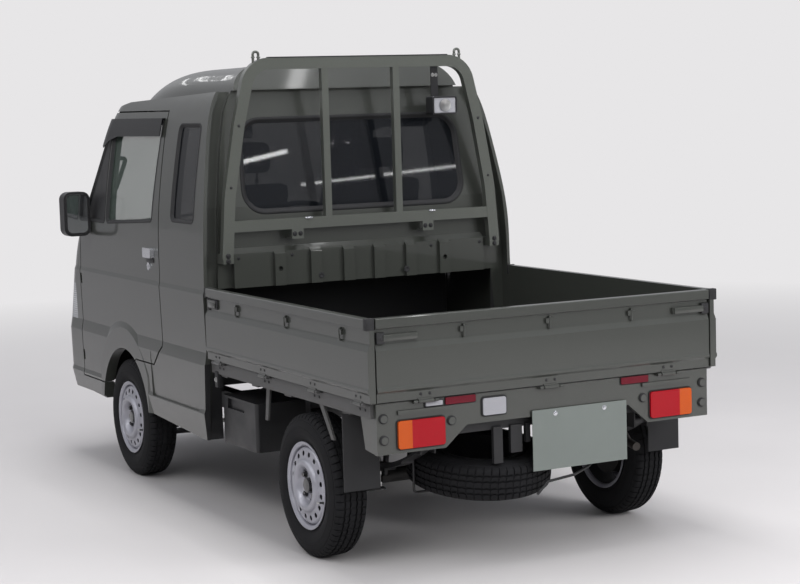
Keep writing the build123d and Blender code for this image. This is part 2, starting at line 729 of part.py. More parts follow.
def make_steering_wheel():
    ring = Torus(STEERING_WHEEL_R, 13.0)
    hub = Cylinder(48.0, 36.0)
    wheel = ring + hub
    for turn in (90.0, 210.0, 330.0):
        spoke = Pos(STEERING_WHEEL_R / 2, 0, 0) * Box(STEERING_WHEEL_R, 30.0, 12.0)
        wheel += Rot(0, 0, turn) * spoke
    wheel += Cylinder(10.0, 150.0, align=(Align.CENTER, Align.CENTER, Align.MIN))
    return column_place() * wheel


def make_column():
    """Column tube from under the wheel to the footwell, tied to the dashboard."""
    start = 40.0
    lean = math.radians(COLUMN_LEAN)
    end = (WHEEL_CENTRE[2] - FOOTWELL_Z) / math.cos(lean)
    tube = Pos(0, 0, start) * Cylinder(24.0, end - start + 40.0, align=(Align.CENTER, Align.CENTER, Align.MIN))
    bore = Cylinder(10.5, 160.0, align=(Align.CENTER, Align.CENTER, Align.MIN))
    shroud = Pos(0, 0, start) * Cylinder(40.0, 150.0, align=(Align.CENTER, Align.CENTER, Align.MIN))
    column = column_place() * (tube + shroud - bore)
    column += block((1100.0, DASH_FACE_X + 4.0), (WHEEL_CENTRE[1] - 22.0, WHEEL_CENTRE[1] + 22.0), (872.0, 916.0))
    below = block((900.0, 1700.0), (-700.0, 700.0), (300.0, FOOTWELL_Z))
    ahead = block((DASH_FACE_X, 1700.0), (-700.0, 700.0), (820.0, 1100.0))
    return column - below - ahead


# Inside the cab

DASH_FACE_X = 1236.0
SEAT_Y = 330.0
SEAT_HALF = 232.0
CUSHION_TOP_Z = 812.0


def make_dashboard(inner_form):
    outline = [
        (DASH_FACE_X + 20.0, 826.0),
        (DASH_FACE_X, 880.0),
        (DASH_FACE_X, 1010.0),
        (DASH_FACE_X + 34.0, 1056.0),
        (DASH_FACE_X + 90.0, 1070.0),
        (1700.0, 1058.0),
        (1700.0, 826.0),
    ]
    return prism_y(outline, -650.0, 650.0) & inner_form


def make_cab_floor(inner_form):
    """Pressed floor: footwell, riser, deck over the wheels, riser and rear shelf, with the wheel houses."""
    t = FLOOR_T
    outline = [
        (1700.0, FOOTWELL_Z - t),
        (1700.0, FOOTWELL_Z),
        (WHEELHOUSE_FRONT, FOOTWELL_Z),
        (WHEELHOUSE_FRONT, DECK_Z),
        (TUNNEL_X + 2 * t, DECK_Z),
        (TUNNEL_X + 2 * t, SHELF_Z),
        (-146.0, SHELF_Z),
        (-146.0, SHELF_Z - t),
        (TUNNEL_X + t, SHELF_Z - t),
        (TUNNEL_X + t, DECK_Z - t),
        (WHEELHOUSE_FRONT - t, DECK_Z - t),
        (WHEELHOUSE_FRONT - t, FOOTWELL_Z - t),
    ]
    floor = prism_y(outline, -FLOOR_HALF, FLOOR_HALF)
    floor = floor & (inner_form + block((-300.0, 1400.0), (-900.0, 900.0), (300.0, 1100.0)))
    shelf_sides = block((-300.0, TUNNEL_X + t), (TUNNEL_HALF + 12.0, 900.0), (DECK_Z, 1100.0))
    floor = floor - shelf_sides - mirrored(shelf_sides)
    low = FRAME_FRONT_TOP_Z
    for side in (1, -1):
        y0, y1 = sorted((side * (WHEELHOUSE_IN - 6.0), side * WHEELHOUSE_IN))
        o0, o1 = sorted((side * (WHEELHOUSE_IN - 6.0), side * FLOOR_HALF))
        floor += block((WHEELHOUSE_REAR - 6.0, WHEELHOUSE_FRONT), (y0, y1), (low, DECK_Z - t))
        floor += block((WHEELHOUSE_REAR - 6.0, WHEELHOUSE_REAR), (o0, o1), (low, DECK_Z - t))
    return floor


def make_seat(side):
    """Seat base, cushion, and leaning back with its headrest on two posts."""
    y0 = side * SEAT_Y - SEAT_HALF
    y1 = side * SEAT_Y + SEAT_HALF
    base = block((360.0, 770.0), (y0 + 20.0, y1 - 20.0), (DECK_Z, 690.0))
    cushion = block((330.0, 810.0), (y0, y1), (690.0 + FIT, CUSHION_TOP_Z))
    cushion = fillet(cushion.edges(), 24.0)
    back = prism_y(
        [(330.0, CUSHION_TOP_Z + FIT), (452.0, CUSHION_TOP_Z + FIT), (425.0, 960.0), (340.0, 1345.0), (236.0, 1345.0),
         (312.0, 960.0)],
        y0 + 8.0,
        y1 - 8.0,
    )
    back = fillet(back.edges().filter_by(Axis.Y), 20.0)
    head = block((214.0, 306.0), (side * SEAT_Y - 130.0, side * SEAT_Y + 130.0), (1365.0, 1520.0))
    head = fillet(head.edges(), 26.0)
    for dy in (-60.0, 60.0):
        back += rod((270.0, side * SEAT_Y + dy, 1330.0), (262.0, side * SEAT_Y + dy, 1380.0), 6.0)
    return base, cushion, back + head


# Load bed


def gate_profile(height_low, height_high):
    """Section of a gate as (outward distance from the inner face, z), from the inner bottom round."""
    t = GATE_T
    return [
        (0.0, height_low),
        (t - 5.0, height_low),
        (t - 5.0, 676.0),
        (t - 2.0, 680.0),
        (t + 2.5, 685.0),
        (t + 2.5, 694.0),
        (t - 1.0, 700.0),
        (t - 1.0, 826.0),
        (t - 9.0, 846.0),
        (t - 10.0, 852.0),
        (t - 10.0, 900.0),
        (t + 1.5, 904.0),
        (t + 1.5, height_high - 3.0),
        (t - 1.5, height_high),
        (0.0, height_high),
    ]


TAIL_INNER_X = GATE_REAR_X + GATE_T
SIDE_LATCH = (-250.0, -330.0)
SIDE_HOOKS = (-540.0, -1008.0, -1474.0)
SIDE_HINGES = (-330.0, -780.0, -1230.0, -1600.0)
TAIL_HINGES = (-511.0, 0.0, 511.0)
TAIL_HOOKS = (-352.0, 0.0, 352.0)
KNUCKLE_LEN = 60.0


def make_side_gate():
    """Left side gate with its top rail, latch, rope hooks, corner cap and hinge knuckles."""
    outline = [(BED_HALF + u, z) for u, z in gate_profile(GATE_BOTTOM_Z, GATE_TOP_Z)]
    gate = prism_x(outline, GATE_REAR_X, BED_FRONT_X)
    band_y = BED_HALF + GATE_T - 10.0
    gate += block((SIDE_LATCH[1], SIDE_LATCH[0]), (band_y - 2.0, band_y + 9.0), (862.0, 892.0))
    for x in SIDE_HOOKS:
        gate += block((x - 16.0, x + 16.0), (band_y - 2.0, band_y + 10.0), (868.0, 886.0))
    for x in SIDE_HINGES:
        gate += knuckle_x(x, (GATE_HINGE_Y, GATE_HINGE_Z), GATE_BOTTOM_Z + 3.0)
    return gate


def knuckle_x(x, at, top):
    """Hinge knuckle along X with a leaf up to the gate."""
    y, z = at
    barrel = rod((x - KNUCKLE_LEN / 2, y, z), (x + KNUCKLE_LEN / 2, y, z), HINGE_R)
    leaf = block((x - KNUCKLE_LEN / 2, x + KNUCKLE_LEN / 2), (y - HINGE_R, y - 1.0), (z, top))
    bore = rod((x - KNUCKLE_LEN, y, z), (x + KNUCKLE_LEN, y, z), HINGE_PIN_R + PIN_CLEARANCE)
    return barrel + leaf - bore


def fixed_knuckle_x(x, at, inner_y):
    """Pin through a gate knuckle, held at both ends by arms from the sill."""
    y, z = at
    end = KNUCKLE_LEN / 2 + 5.0
    piece = rod((x - end - 14.0, y, z), (x + end + 14.0, y, z), HINGE_PIN_R)
    for side in (-1, 1):
        a, b = sorted((x + side * end, x + side * (end + 14.0)))
        piece += rod((a, y, z), (b, y, z), HINGE_R - 0.5)
        piece += block((a, b), (inner_y - 4.0, y), (z - HINGE_R + 0.5, z))
    return piece


def knuckle_y(y, at, top):
    x, z = at
    barrel = rod((x, y - KNUCKLE_LEN / 2, z), (x, y + KNUCKLE_LEN / 2, z), HINGE_R)
    leaf = block((x + 1.0, x + HINGE_R), (y - KNUCKLE_LEN / 2, y + KNUCKLE_LEN / 2), (z, top))
    bore = rod((x, y - KNUCKLE_LEN, z), (x, y + KNUCKLE_LEN, z), HINGE_PIN_R + PIN_CLEARANCE)
    return barrel + leaf - bore


def fixed_knuckle_y(y, at, inner_x):
    x, z = at
    end = KNUCKLE_LEN / 2 + 5.0
    piece = rod((x, y - end - 14.0, z), (x, y + end + 14.0, z), HINGE_PIN_R)
    for side in (-1, 1):
        a, b = sorted((y + side * end, y + side * (end + 14.0)))
        piece += rod((x, a, z), (x, b, z), HINGE_R - 0.5)
        piece += block((x, inner_x + 4.0), (a, b), (z - HINGE_R + 0.5, z))
    return piece


def make_tailgate():
    outline = [(TAIL_INNER_X - u, z) for u, z in gate_profile(GATE_BOTTOM_Z, GATE_TOP_Z)]
    gate = prism_y(outline, -TAILGATE_HALF, TAILGATE_HALF)
    band_x = TAIL_INNER_X - (GATE_T - 10.0)
    for side in (-1, 1):
        a, b = sorted((side * 535.0, side * 670.0))
        gate += block((band_x - 10.0, band_x + 2.0), (a, b), (858.0, 882.0))
    for y in TAIL_HOOKS:
        gate += block((band_x - 10.0, band_x + 2.0), (y - 16.0, y + 16.0), (868.0, 886.0))
    for y in TAIL_HINGES:
        gate += knuckle_y(y, (TAIL_HINGE_X, GATE_HINGE_Z), GATE_BOTTOM_Z + 3.0)
    return gate


BED_REAR_X = REAR_PANEL_X + REAR_PANEL_T
FLOOR_RIB_PITCH = 128.0
BED_BEAMS = (-330.0, -640.0, -950.0, -1450.0)


def make_bed_floor():
    """Ribbed floor that runs under the cab, side sills with their hinge arms, and cross beams."""
    low = BED_Z - BED_FLOOR_T
    floor = block((BED_REAR_X, BED_FRONT_X + 8.0), (-BED_HALF + 3.0, BED_HALF - 3.0), (low, BED_Z - 5.0))
    floor += block((BED_FRONT_X, TUNNEL_X), (-TUNNEL_HALF, TUNNEL_HALF), (low, BED_Z - 5.0))
    ribs = int((TUNNEL_HALF - 40.0) / FLOOR_RIB_PITCH)
    for i in range(-ribs, ribs + 1):
        y = i * FLOOR_RIB_PITCH
        floor += block((BED_REAR_X + 30.0, TUNNEL_X - 30.0), (y - 34.0, y + 34.0), (low + 5.0, BED_Z))
    for side in (-1, 1):
        a, b = sorted((side * (BED_HALF - 25.0), side * SILL_OUT))
        floor += block((BED_REAR_X, BED_FRONT_X), (a, b), (590.0, BED_Z - 10.0))
    for x in BED_BEAMS:
        floor += block((x - 30.0, x + 30.0), (-BED_HALF + 3.0, BED_HALF - 3.0), (FRAME_TOP_Z, low + 2.0))
    for x in SIDE_HINGES:
        arm = fixed_knuckle_x(x, (GATE_HINGE_Y, GATE_HINGE_Z), SILL_OUT)
        floor += arm
        floor += mirrored(arm)
    for x0, x1, z1, y in ((-690.0, -655.0, 445.0, 656.0), (-1228.0, -1344.0, 472.0, 700.0)):
        stay = prism_y([(x0 - 17.0, low + 2.0), (x0 + 17.0, low + 2.0), (x1 + 13.0, z1), (x1 - 13.0, z1)], y, y + 8.0)
        floor += stay
        floor += mirrored(stay)
    return floor


WALL_X = BED_FRONT_X + 40.0
RIB_YS = (-390.0, -225.0, -72.0, 72.0, 225.0, 390.0)


def make_bed_front_wall():
    """Ribbed panel between bed and cab, standing on the tunnel's mouth, and the tunnel's front and side walls."""
    panel = prism_y(
        [(WALL_X, 925.0), (-212.0, 925.0), (-212.0, 1066.0), (-176.0, 1093.0), (WALL_X, 1093.0)], -592.0, 592.0
    )
    for y in RIB_YS:
        rib = prism_y([(-205.0, 925.0), (-228.0, 925.0), (-228.0, 1058.0), (-205.0, 1074.0)], y - 25.0, y + 25.0)
        panel += rib
    for y in (-390.0, 390.0):
        panel -= rod((-300.0, y, 995.0), (-205.0, y, 995.0), 10.0)
    return panel


def make_guard_frame():
    """Bent square-tube frame behind the cab with its rails, bars, brackets and rope hooks."""
    x = GUARD_X
    points = [(x, -631.0, GUARD_FOOT_Z), (x, -612.0, 1300.0), (x, -561.0, 1588.0), (x, -500.0, GUARD_TOP_Z),
              (x, 500.0, GUARD_TOP_Z), (x, 561.0, 1588.0), (x, 612.0, 1300.0), (x, 631.0, GUARD_FOOT_Z)]
    path = FilletPolyline(*points, radius=[400.0, 400.0, 105.0, 105.0, 400.0, 400.0])
    start = Plane(origin=path @ 0, x_dir=(1, 0, 0), z_dir=path % 0)
    frame = sweep(start * Rectangle(GUARD_TUBE_D, GUARD_TUBE_W), path=path)
    frame += block((x - 14.0, x + 14.0), (-602.0, 602.0), (GUARD_RAIL_Z - 23.0, GUARD_RAIL_Z + 23.0))
    for y in (-167.0, 167.0):
        frame += block((x - 13.0, x + 13.0), (y - 15.0, y + 15.0), (GUARD_RAIL_Z, GUARD_TOP_Z))
    wall = -210.0 + REAR_FLANGE - FIT
    for y in (-302.0, 314.0):
        frame += block((x - 14.0, x - 9.0), (y - 26.0, y + 26.0), (1116.0, GUARD_RAIL_Z))
        frame += block((x - 14.0, wall), (y - 26.0, y + 26.0), (1116.0, 1121.0))
    for side in (-1, 1):
        a, b = sorted((side * 606.0, side * 652.0))
        frame += block((x - 15.0, wall), (a, b), (1030.0, GUARD_FOOT_Z + 20.0))
    for y in (-471.0, 471.0):
        hook = [(x, y - 12.0, GUARD_TOP_Z - 30.0), (x, y - 12.0, 1889.0), (x, y + 12.0, 1889.0), (x, y + 12.0, GUARD_TOP_Z - 30.0)]
        frame += bent_rod(hook, 11.0, 5.5)
    return frame


def make_work_lamp():
    """Square lamp on a strap from the guard frame's top rail."""
    x = GUARD_X + GUARD_TUBE_D / 2
    lamp = block((x - 34.0, x + 26.0), (-456.0, -337.0), (1610.0, 1688.0))
    lamp = fillet(lamp.edges().filter_by(Axis.X), 8.0)
    strap = block((x, x + 4.0), (-384.0, -350.0), (1688.0, GUARD_TOP_Z + 18.0))
    return lamp + strap


def make_rear_panel():
    """Rear valance with its cut-out, lamp ledges, end returns and rubber buffers' seats."""
    x = REAR_PANEL_X
    half = REAR_PANEL_HALF
    low = REAR_PANEL_BOTTOM_Z
    outline = [(-half, low), (-428.0, low), (-342.0, 536.0), (342.0, 536.0), (428.0, low), (half, low),
               (half, REAR_PANEL_TOP_Z), (-half, REAR_PANEL_TOP_Z)]
    panel = prism_x(outline, x, BED_REAR_X)
    for side in (-1, 1):
        a, b = sorted((side * 400.0, side * 617.0))
        panel += block((x - 8.0, x + 2.0), (a, b), (598.0, 612.0))
        a, b = sorted((side * (half - 12.0), side * half))
        panel += prism_y([(x + 2.0, low), (x + 90.0, low + 10.0), (x + 120.0, 589.0), (x + 2.0, 589.0)], a, b)
        for y, z in ((672.0, 589.0), (671.0, 514.0), (405.0, 557.0)):
            panel += rod((x + 2.0, side * y, z), (x - 9.0, side * y, z), 13.0)
    for y in TAIL_HINGES:
        panel += fixed_knuckle_y(y, (TAIL_HINGE_X, GATE_HINGE_Z), x)
    return panel


def rounded_plate(y, z, size, depth, corner, x):
    """Upright plate facing rearwards with rounded corners, seated at x and standing out by depth."""
    plate = block((x - depth, x), (y - size[0] / 2, y + size[0] / 2), (z - size[1] / 2, z + size[1] / 2))
    return fillet(plate.edges().filter_by(Axis.X), corner)


def tail_lamp(sign, x):
    """Red and amber lenses of one tail lamp, split where the two colours meet."""
    lamp = rounded_plate(sign * LAMP_Y, 527.0, (LAMP_W, 98.0), 11.0, 10.0, x)
    a, b = sorted((sign * (LAMP_Y + LAMP_W / 2 - AMBER_W), sign * (LAMP_Y + LAMP_W)))
    outer = block((x - 50.0, x + 50.0), (a, b), (400.0, 700.0))
    return lamp - outer, lamp & outer


# Chassis


def make_frame():
    """Ladder frame that kicks up behind the cab, with cross members and spring hangers."""
    top, deep = FRAME_TOP_Z, FRAME_TOP_Z - FRAME_H
    front, front_low = FRAME_FRONT_TOP_Z, FRAME_FRONT_TOP_Z - FRAME_H
    side_view = [(1590.0, front_low), (1590.0, front), (180.0, front), (-260.0, top), (FRAME_REAR_X, top),
                 (FRAME_REAR_X, deep), (-290.0, deep), (150.0, front_low)]
    frame = prism_y(side_view, FRAME_IN, FRAME_OUT) + prism_y(side_view, -FRAME_OUT, -FRAME_IN)
    for x, width, z0, z1 in (
        (1560.0, 60.0, front_low, front),
        (1130.0, 60.0, front_low, front),
        (RACK_X, 56.0, front_low, front_low + 34.0),
        (-380.0, 60.0, deep, top),
        (-900.0, 60.0, deep, top),
        (SPARE_X, 50.0, deep, deep + 44.0),
        (-1615.0, 50.0, deep, top),
    ):
        frame += block((x - width / 2, x + width / 2), (-FRAME_IN - 2.0, FRAME_IN + 2.0), (z0, z1))
    for side in (-1, 1):
        for end in (-1, 1):
            x = REAR_AXLE_X + end * LEAF_HALF
            a, b = sorted((side * (FRAME_OUT - 2.0), side * (LEAF_OUT + 6.0)))
            frame += block((x - 22.0, x + 22.0), (a, b), (496.0, 540.0))
            for y0, y1 in ((LEAF_IN - 6.0, LEAF_IN - 1.0), (LEAF_OUT + 1.0, LEAF_OUT + 6.0)):
                a, b = sorted((side * y0, side * y1))
                frame += block((x - 22.0, x + 22.0), (a, b), (430.0, 498.0))
            frame += rod((x, side * (LEAF_IN - 6.0), LEAF_EYE_Z), (x, side * (LEAF_OUT + 6.0), LEAF_EYE_Z), 6.0)
    for y0, y1, z0 in ((185.0, 222.0, 378.0), (104.0, 151.0, 410.0), (69.0, 88.0, 442.0)):
        frame += block((-1652.0, -1636.0), (y0, y1), (z0, deep + 10.0))
    return frame


LEAF_HALF = 455.0
LEAF_SAG = 118.0
LEAF_T = 9.0
LEAF_SADDLE_Z = HUB_Z + AXLE_TUBE_R + 12.0
LEAF_RADIUS = (LEAF_HALF**2 + LEAF_SAG**2) / (2 * LEAF_SAG)
LEAF_CENTRE_Z = LEAF_SADDLE_Z + 3 * LEAF_T + LEAF_RADIUS
LEAF_EYE_Z = LEAF_SADDLE_Z + 3 * LEAF_T + LEAF_SAG + 4.0


def make_leaf_spring():
    """Three leaves bent to one centre, with rolled eyes round the hanger pins."""
    spring = None
    for i, half in enumerate((LEAF_HALF, LEAF_HALF * 0.7, LEAF_HALF * 0.4)):
        outer = Pos(REAR_AXLE_X, (LEAF_IN + LEAF_OUT) / 2, LEAF_CENTRE_Z) * Rot(90, 0, 0) * Cylinder(
            LEAF_RADIUS + (i + 1) * LEAF_T, LEAF_OUT - LEAF_IN
        )
        inner = Pos(REAR_AXLE_X, (LEAF_IN + LEAF_OUT) / 2, LEAF_CENTRE_Z) * Rot(90, 0, 0) * Cylinder(
            LEAF_RADIUS + i * LEAF_T, LEAF_OUT - LEAF_IN + 2.0
        )
        window = block((REAR_AXLE_X - half, REAR_AXLE_X + half), (0.0, 700.0), (100.0, LEAF_EYE_Z + 60.0))
        leaf = (outer - inner) & window
        spring = leaf if spring is None else spring + leaf
    for end in (-1, 1):
        x = REAR_AXLE_X + end * LEAF_HALF
        spring += rod((x, LEAF_IN, LEAF_EYE_Z), (x, LEAF_OUT, LEAF_EYE_Z), 15.0)
        spring -= rod((x, LEAF_IN - 1.0, LEAF_EYE_Z), (x, LEAF_OUT + 1.0, LEAF_EYE_Z), 6.0 + FIT)
    return spring


def make_rear_axle():
    """Axle tube, differential, drums and spring saddles."""
    x, z = REAR_AXLE_X, HUB_Z
    reach = WHEEL_Y - 45.0
    axle = rod((x, -reach, z), (x, reach, z), AXLE_TUBE_R)
    axle += Pos(x, DIFF_Y, z) * Sphere(DIFF_R)
    axle += rod((x, DIFF_Y, z), (x + DIFF_R + 40.0, DIFF_Y + 6.0, z + 8.0), 42.0)
    right = at_wheel(drum(-60.0), x)
    axle += right
    axle += mirrored(right)
    for side in (-1, 1):
        a, b = sorted((side * (LEAF_IN + 4.0), side * (LEAF_OUT - 4.0)))
        axle += block((x - 32.0, x + 32.0), (a, b), (z, LEAF_SADDLE_Z - FIT))
        a, b = sorted((side * 392.0, side * 426.0))
        axle += block((x - 60.0, x), (a, b), (z - 12.0, z + 12.0))
    return axle


def make_dampers():
    """Rear damper each side, from the axle's ear up to a pin on the frame rail."""
    low = (REAR_AXLE_X - 46.0, 409.0, HUB_Z + 12.0 + FIT)
    high = (REAR_AXLE_X - 96.0, 409.0, 530.0)
    mid = tuple(a + 0.55 * (b - a) for a, b in zip(low, high))
    damper = rod(low, mid, 11.0) + rod(mid, high, 17.0)
    floor_cut = block((REAR_AXLE_X - 120.0, REAR_AXLE_X), (300.0, 500.0), (100.0, HUB_Z + 12.0 + FIT))
    damper = damper - floor_cut
    damper += rod((high[0], FRAME_OUT + FIT, high[2] - 10.0), (high[0], 409.0, high[2] - 10.0), 8.0)
    return damper


ENGINE_X = (140.0, 560.0)
GEARBOX_REAR_X = -230.0
ENGINE_Y = -80.0


def make_engine():
    """Engine under the seats with its gearbox behind, as one plain block each, joined."""
    engine = block(ENGINE_X, (ENGINE_Y - 200.0, ENGINE_Y + 200.0), (300.0, 590.0))
    box = block((GEARBOX_REAR_X, ENGINE_X[0]), (ENGINE_Y - 105.0, ENGINE_Y + 105.0), (300.0, 470.0))
    mount = block((ENGINE_X[0] + 60.0, ENGINE_X[0] + 120.0), (-FRAME_IN + FIT, FRAME_IN - FIT), (345.0, 385.0))
    return engine + box + mount


def make_prop_shaft():
    start = (GEARBOX_REAR_X - FIT, ENGINE_Y, 370.0)
    end = (REAR_AXLE_X + DIFF_R + 44.0, DIFF_Y + 6.0, HUB_Z + 9.0)
    shaft = rod(start, end, 27.0)
    clear = rod((REAR_AXLE_X, DIFF_Y, HUB_Z), (REAR_AXLE_X + DIFF_R + 40.0 + FIT, DIFF_Y + 6.0, HUB_Z + 8.0), 60.0)
    front = block((GEARBOX_REAR_X - FIT, 200.0), (-300.0, 100.0), (200.0, 600.0))
    return shaft - clear - front


def make_exhaust():
    """Front pipe, silencer and tailpipe over the axle."""
    y = -225.0
    silencer = rod((-480.0, y, 425.0), (-860.0, y, 425.0), 60.0)
    front = bent_rod([(330.0, y, 300.0 - FIT), (330.0, y, 270.0), (60.0, y, 270.0), (-340.0, y, 425.0), (-485.0, y, 425.0)], 26.0, 17.0)
    tail = bent_rod(
        [(-855.0, y, 425.0), (-925.0, y, 425.0), (-990.0, -530.0, 432.0), (-1290.0, -530.0, 432.0),
         (-1430.0, -505.0, 345.0), (-1500.0, -495.0, 338.0)],
        24.0,
        16.0,
    )
    hanger = block((-893.0, -885.0), (y - 12.0, y + 12.0), (425.0, FRAME_TOP_Z - FRAME_H - FIT))
    return silencer + front + tail + hanger


SPARE_X = -1400.0
SPARE_Y = 140.0
SPARE_Z = 334.0
SPARE_TILT = 8.0


def spare_place():
    return Pos(SPARE_X, SPARE_Y, SPARE_Z) * Rot(0, -SPARE_TILT, 0) * Rot(-90, 0, 0)


def make_spare_carrier():
    """Bar under the spare wheel, hung by a rod on each side, and the winding crank behind."""
    low = SPARE_Z - TYRE_W / 2 / math.cos(math.radians(SPARE_TILT)) - 6.0
    deep = FRAME_TOP_Z - FRAME_H
    left, right = SPARE_Y + TYRE_R + 7.0, SPARE_Y - TYRE_R - 12.0
    hanger = [(SPARE_X, right, deep - FIT), (SPARE_X, right, low), (SPARE_X, left, low), (SPARE_X, left, 440.0),
              (SPARE_X, FRAME_OUT + 6.0, 478.0), (SPARE_X, FRAME_OUT + 6.0, 545.0)]
    carrier = bent_rod(hanger, 12.0, 5.0)
    crank = [(-1673.0, 58.0, 251.0), (-1673.0, 12.0, 293.0), (-1673.0, -100.0, 305.0), (-1620.0, -205.0, 320.0),
             (-1620.0, -205.0, deep - FIT)]
    return carrier, bent_rod(crank, 12.0, 5.0)


def make_fuel_tank():
    tank = block((-625.0, -262.0), (-675.0, -FRAME_OUT - FIT), (300.0, 545.0))
    return fillet(tank.edges(), 22.0)


def make_battery_box():
    box = block((-590.0, -245.0), (FRAME_OUT + FIT, 680.0), (304.0, 500.0))
    box = fillet(box.edges().filter_by(Axis.Z), 14.0)
    recess = block((-470.0, -300.0), (668.0, 700.0), (450.0, 490.0))
    return box - recess


def make_mud_flap():
    return block((-1457.0, -1451.0), (580.0, 722.0), (302.0, FRAME_TOP_Z))


# Door fittings


def make_door_fittings(door):
    """Mirror on its arm, handle with key cylinder, and the clear visor over the window."""
    arm = block((1226.0, 1292.0), (690.0, 780.0), (1096.0, 1128.0))
    arm = fillet(arm.edges().filter_by(Axis.Y), 10.0)
    head = block((1200.0, 1286.0), (727.0, 855.0), (1082.0, 1290.0))
    head = fillet(head.edges().filter_by(Axis.X), 36.0)
    head = fillet(head.faces().sort_by(Axis.X)[-1].edges(), 20.0)
    face = block((1194.0, 1208.0), (759.0, 839.0), (1150.0, 1276.0))
    mirror_piece = arm + (head - fillet(face.edges().filter_by(Axis.X), 20.0))
    handle = block((362.0, 458.0), (712.0, 746.0), (1024.0, 1067.0))
    handle = fillet(handle.edges().filter_by(Axis.Y), 8.0)
    key = rod((420.0, 710.0, 986.0), (420.0, 735.0, 986.0), 17.0)
    outline = [(356.0, 1628.0), (356.0, 1550.0), (900.0, 1548.0), (1000.0, 1530.0), (1078.0, 1496.0),
               (1092.0, 1506.0), (1030.0, 1628.0)]
    visor = prism_y(outline, 640.0, 740.0)
    skin = cab_form(-15.0) - cab_form(-11.0)
    feet = cab_form(-14.0)
    visor_face = visor & skin
    lip = block((330.0, 1080.0), (640.0, 740.0), (1620.0, 1628.0)) & feet & visor
    return (mirror_piece - door) + (handle - door) + (key - door), (visor_face + lip) - cab_form(0.0)


def main():
    os.makedirs("parts", exist_ok=True)
    cab = make_cab()
    glass = make_glass()
    inner_form = cab_form(CAB_WALL + FIT, CAB_ROOF_T + FIT)

    save("cab_side_left", cab["side"])
    save("cab_side_right", mirrored(cab["side"]))
    save("cab_roof", cab["roof"])
    save("cab_rear_wall", cab["rear_wall"])
    save("cab_nose", cab["nose"])
    save("headlamps", cab["lamps"])
    save("front_grille", cab["grille"])
    save("front_bumper", cab["bumper"])
    save("cab_glass", glass["screen"], glass["rear"], glass["quarter"], mirrored(glass["quarter"]))
    save("cab_floor", make_cab_floor(inner_form))
    save("dashboard", make_dashboard(inner_form))
    save("steering_column", make_column())
    save("steering_wheel", make_steering_wheel())

    fittings, visor = make_door_fittings(cab["door"])
    for side, turn in (("left", lambda s: s), ("right", mirrored)):
        save("door_" + side, turn(cab["door"]))
        save("door_" + side + "_glass", turn(glass["door"]), turn(visor))
        save("door_" + side + "_fittings", turn(fittings))

    left_seat, right_seat = make_seat(1), make_seat(-1)
    save("seats", left_seat[1], left_seat[2], right_seat[1], right_seat[2])
    save("seat_bases", left_seat[0], right_seat[0])

    save("bed_floor", make_bed_floor())
    save("bed_front_wall", make_bed_front_wall())
    gate = make_side_gate()
    save("side_gate_left", gate)
    save("side_gate_right", mirrored(gate))
    save("tailgate", make_tailgate())
    save("guard_frame", make_guard_frame())
    save("work_lamp", make_work_lamp())

    save("rear_panel", make_rear_panel())
    x = REAR_PANEL_X
    lamp_pieces = []
    for sign in (-1, 1):
        red, amber = tail_lamp(sign, x)
        lamp_pieces += [red, amber]
        lamp_pieces.append(rounded_plate(sign * 368.0, 628.0, (120.0, 25.0), 6.0, 4.0, x))
    lamp_pieces.append(rounded_plate(232.0, 592.0, (94.0, 61.0), 8.0, 8.0, x))
    save("rear_lamps", *lamp_pieces)
    bracket = block((x - 6.0, x), (PLATE_Y - 100.0, PLATE_Y + 100.0), (540.0, 556.0))
    plate = block((x - 9.0, x - 6.0), (PLATE_Y - 202.0, PLATE_Y + 202.0), (338.0, 558.0))
    for y in (PLATE_Y - 105.0, PLATE_Y + 105.0):
        plate -= rod((x - 30.0, y, 540.0), (x + 30.0, y, 540.0), 3.5)
    save("number_plate", plate, bracket)

    save("chassis_frame", make_frame())
    save("rear_axle", make_rear_axle())
    spring = make_leaf_spring()
    damper = make_dampers()
    save("rear_springs", spring, mirrored(spring), damper, mirrored(damper))
    save("engine", make_engine())
    save("prop_shaft", make_prop_shaft())
    save("exhaust", make_exhaust())
    save("fuel_tank", make_fuel_tank())
    save("battery_box", make_battery_box())
    flap = make_mud_flap()
    save("mud_flaps", flap, mirrored(flap))
    strut, lower = make_front_suspension()
    save("front_suspension", strut, mirrored(strut), lower, mirrored(lower), make_rack_housing())
    save("rack_bar", make_rack_bar())
    knuckle = make_knuckle()
    save("knuckle_left", knuckle)
    save("knuckle_right", mirrored(knuckle))

    tyre, rim = make_tyre(), make_rim()
    for place, axle_x in (("front", FRONT_AXLE_X), ("rear", REAR_AXLE_X)):
        save("tyre_" + place + "_left", at_wheel(tyre, axle_x))
        save("rim_" + place + "_left", at_wheel(rim, axle_x))
        save("tyre_" + place + "_right", mirrored(at_wheel(tyre, axle_x)))
        save("rim_" + place + "_right", mirrored(at_wheel(rim, axle_x)))
    save("spare_tyre", spare_place() * tyre)
    save("spare_rim", spare_place() * rim)
    save("spare_carrier", *make_spare_carrier())


main()
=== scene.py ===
import bpy
import bmesh
import math
from mathutils import Matrix, Vector
from mathutils.bvhtree import BVHTree


